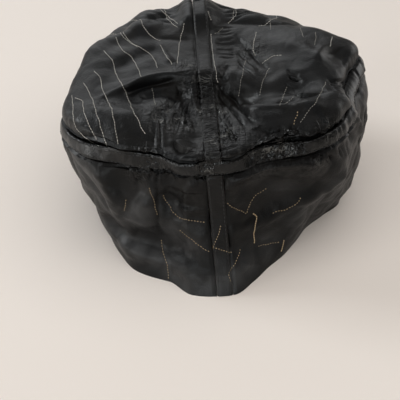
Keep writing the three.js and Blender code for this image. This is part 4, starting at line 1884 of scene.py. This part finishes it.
LIGHTS = (
    SoftLight("window", (2.2, -0.9, 1.6), 0.9, 28.0, (0.95, 0.98, 1.0), Reach.BOTH),
    SoftLight("lamp", (2.4, 0.9, 0.4), 0.8, 22.0, (1.0, 0.97, 0.94), Reach.BOTH),
    SoftLight("fill", (-0.6, 0.7, 2.4), 4.0, 71.0, (1.0, 0.97, 0.94), Reach.LIGHT),
    SoftLight("wall", (0.5, -2.3, 1.5), 2.2, 24.0, (0.98, 0.99, 1.0), Reach.GLOSS),
    SoftLight("card", (0.5, 2.5, 1.1), 1.6, 20.0, (0.97, 0.99, 1.0), Reach.GLOSS),
    SoftLight("side_card", (-2.3, -1.4, 0.9), 1.8, 26.0, (1.0, 0.98, 0.96), Reach.GLOSS),
    SoftLight("overhead_card", (-0.4, 0.0, 2.5), 1.2, 4.0, (0.98, 0.99, 1.0), Reach.GLOSS),
    SoftLight("high_glint", (2.1, -0.8, 1.2), 0.25, 16.0, (1.0, 0.99, 0.97), Reach.GLOSS),
    SoftLight("low_glint", (0.8, 1.9, 0.7), 0.12, 6.0, (1.0, 0.99, 0.97), Reach.GLOSS),
)


@dataclass(frozen=True)
class Studio:
    """A plain pale table in soft window light.

    Attributes:
        table_size: the table's side, in metres.
        table_colour: its colour.
        room_colour: the colour of the room's own light.
        room_light: how strong that is.
    """

    table_size: float = 8.0
    table_colour: Colour = (0.86, 0.80, 0.745, 1)
    room_colour: Colour = (1.0, 0.96, 0.92, 1)
    room_light: float = 0.1

    def build(self) -> None:
        """Adds the table, the lights and the camera."""
        bpy.ops.object.select_all(action="DESELECT")
        bpy.ops.mesh.primitive_plane_add(size=self.table_size, location=(0, 0, 0))
        table = bpy.context.object
        table.name = "table"
        bench = Bench("pale_table")
        bench.dress(Base_Color=self.table_colour, Roughness=0.6, Specular_IOR_Level=0.2)
        table.data.materials.append(bench.material)
        for light in LIGHTS:
            light.add()
        world = bpy.data.worlds.new("room_light")
        world.use_nodes = True
        background = world.node_tree.nodes["Background"]
        background.inputs["Color"].default_value = self.room_colour
        background.inputs["Strength"].default_value = self.room_light
        bpy.context.scene.world = world
        bpy.context.scene.view_settings.view_transform = "Standard"
        VIEW.add_camera()


def main() -> None:
    """Builds the cap and its studio."""
    logging.basicConfig(level=logging.INFO, format="%(name)s %(message)s")
    solids = Surface(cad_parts.values())
    panel = Leather("panel_leather")
    side = Leather("side_leather", gloss=0.14)
    strip = Leather("strip_leather", gloss=0.17, stretch=(0.4, 1.0, 1.0))
    band = Leather(
        "band_leather",
        roughness=0.3,
        gloss=0.24,
        wrinkles=0.35,
        stretch=(1.0, 1.0, 0.3),
        cross=(0.5, 0.5, 0.4),
    )
    board = Leather("peak_leather", wrinkles=0.15)
    left, right = Half.LEFT, Half.RIGHT
    wrinkles = tuple(fold for group in WRINKLES for fold in group.folds())
    sewn = {"folds": CROWN_DETAIL + SIDE_DETAIL + HIDDEN_DETAIL + wrinkles}
    walls = (
        CrownPanel("crown_left", left, panel, "panel_leather", 240, 198, **sewn),
        CrownPanel("crown_right", right, panel, "panel_leather", 240, 198, **sewn),
        SidePanel("side_left", left, side, "panel_leather", 240, 104, **sewn),
        SidePanel("side_right", right, side, "panel_leather", 240, 104, **sewn),
        TopStrip("top_seam_strip", left, strip, "strip_leather", 320, 16, **sewn),
        EdgeStrip("edge_strip_left", left, band, "strip_leather", 250, 16, **sewn),
        EdgeStrip("edge_strip_right", right, band, "strip_leather", 250, 16, **sewn),
        BackStrip("back_seam_strip", left, strip, "strip_leather", 110, 16, **sewn),
        Peak("peak", left, board, "peak_leather", 200, 60),
    )
    materials = {leather: leather.material() for leather in (panel, side, strip, band, board)}
    pieces = [wall.build(solids, materials[wall.finish]) for wall in walls]
    needlework = Needlework(Surface(pieces))
    for thread, aim, lines in STITCH_LINES:
        for line in lines:
            needlework.sew(thread, needlework.leather.line(aim, line, 1.0))
    for wall in walls:
        for line in wall.topstitching():
            needlework.follow(BLACK, line)
    needlework.finish()
    Studio().build()


if __name__ == "__main__":
    main()
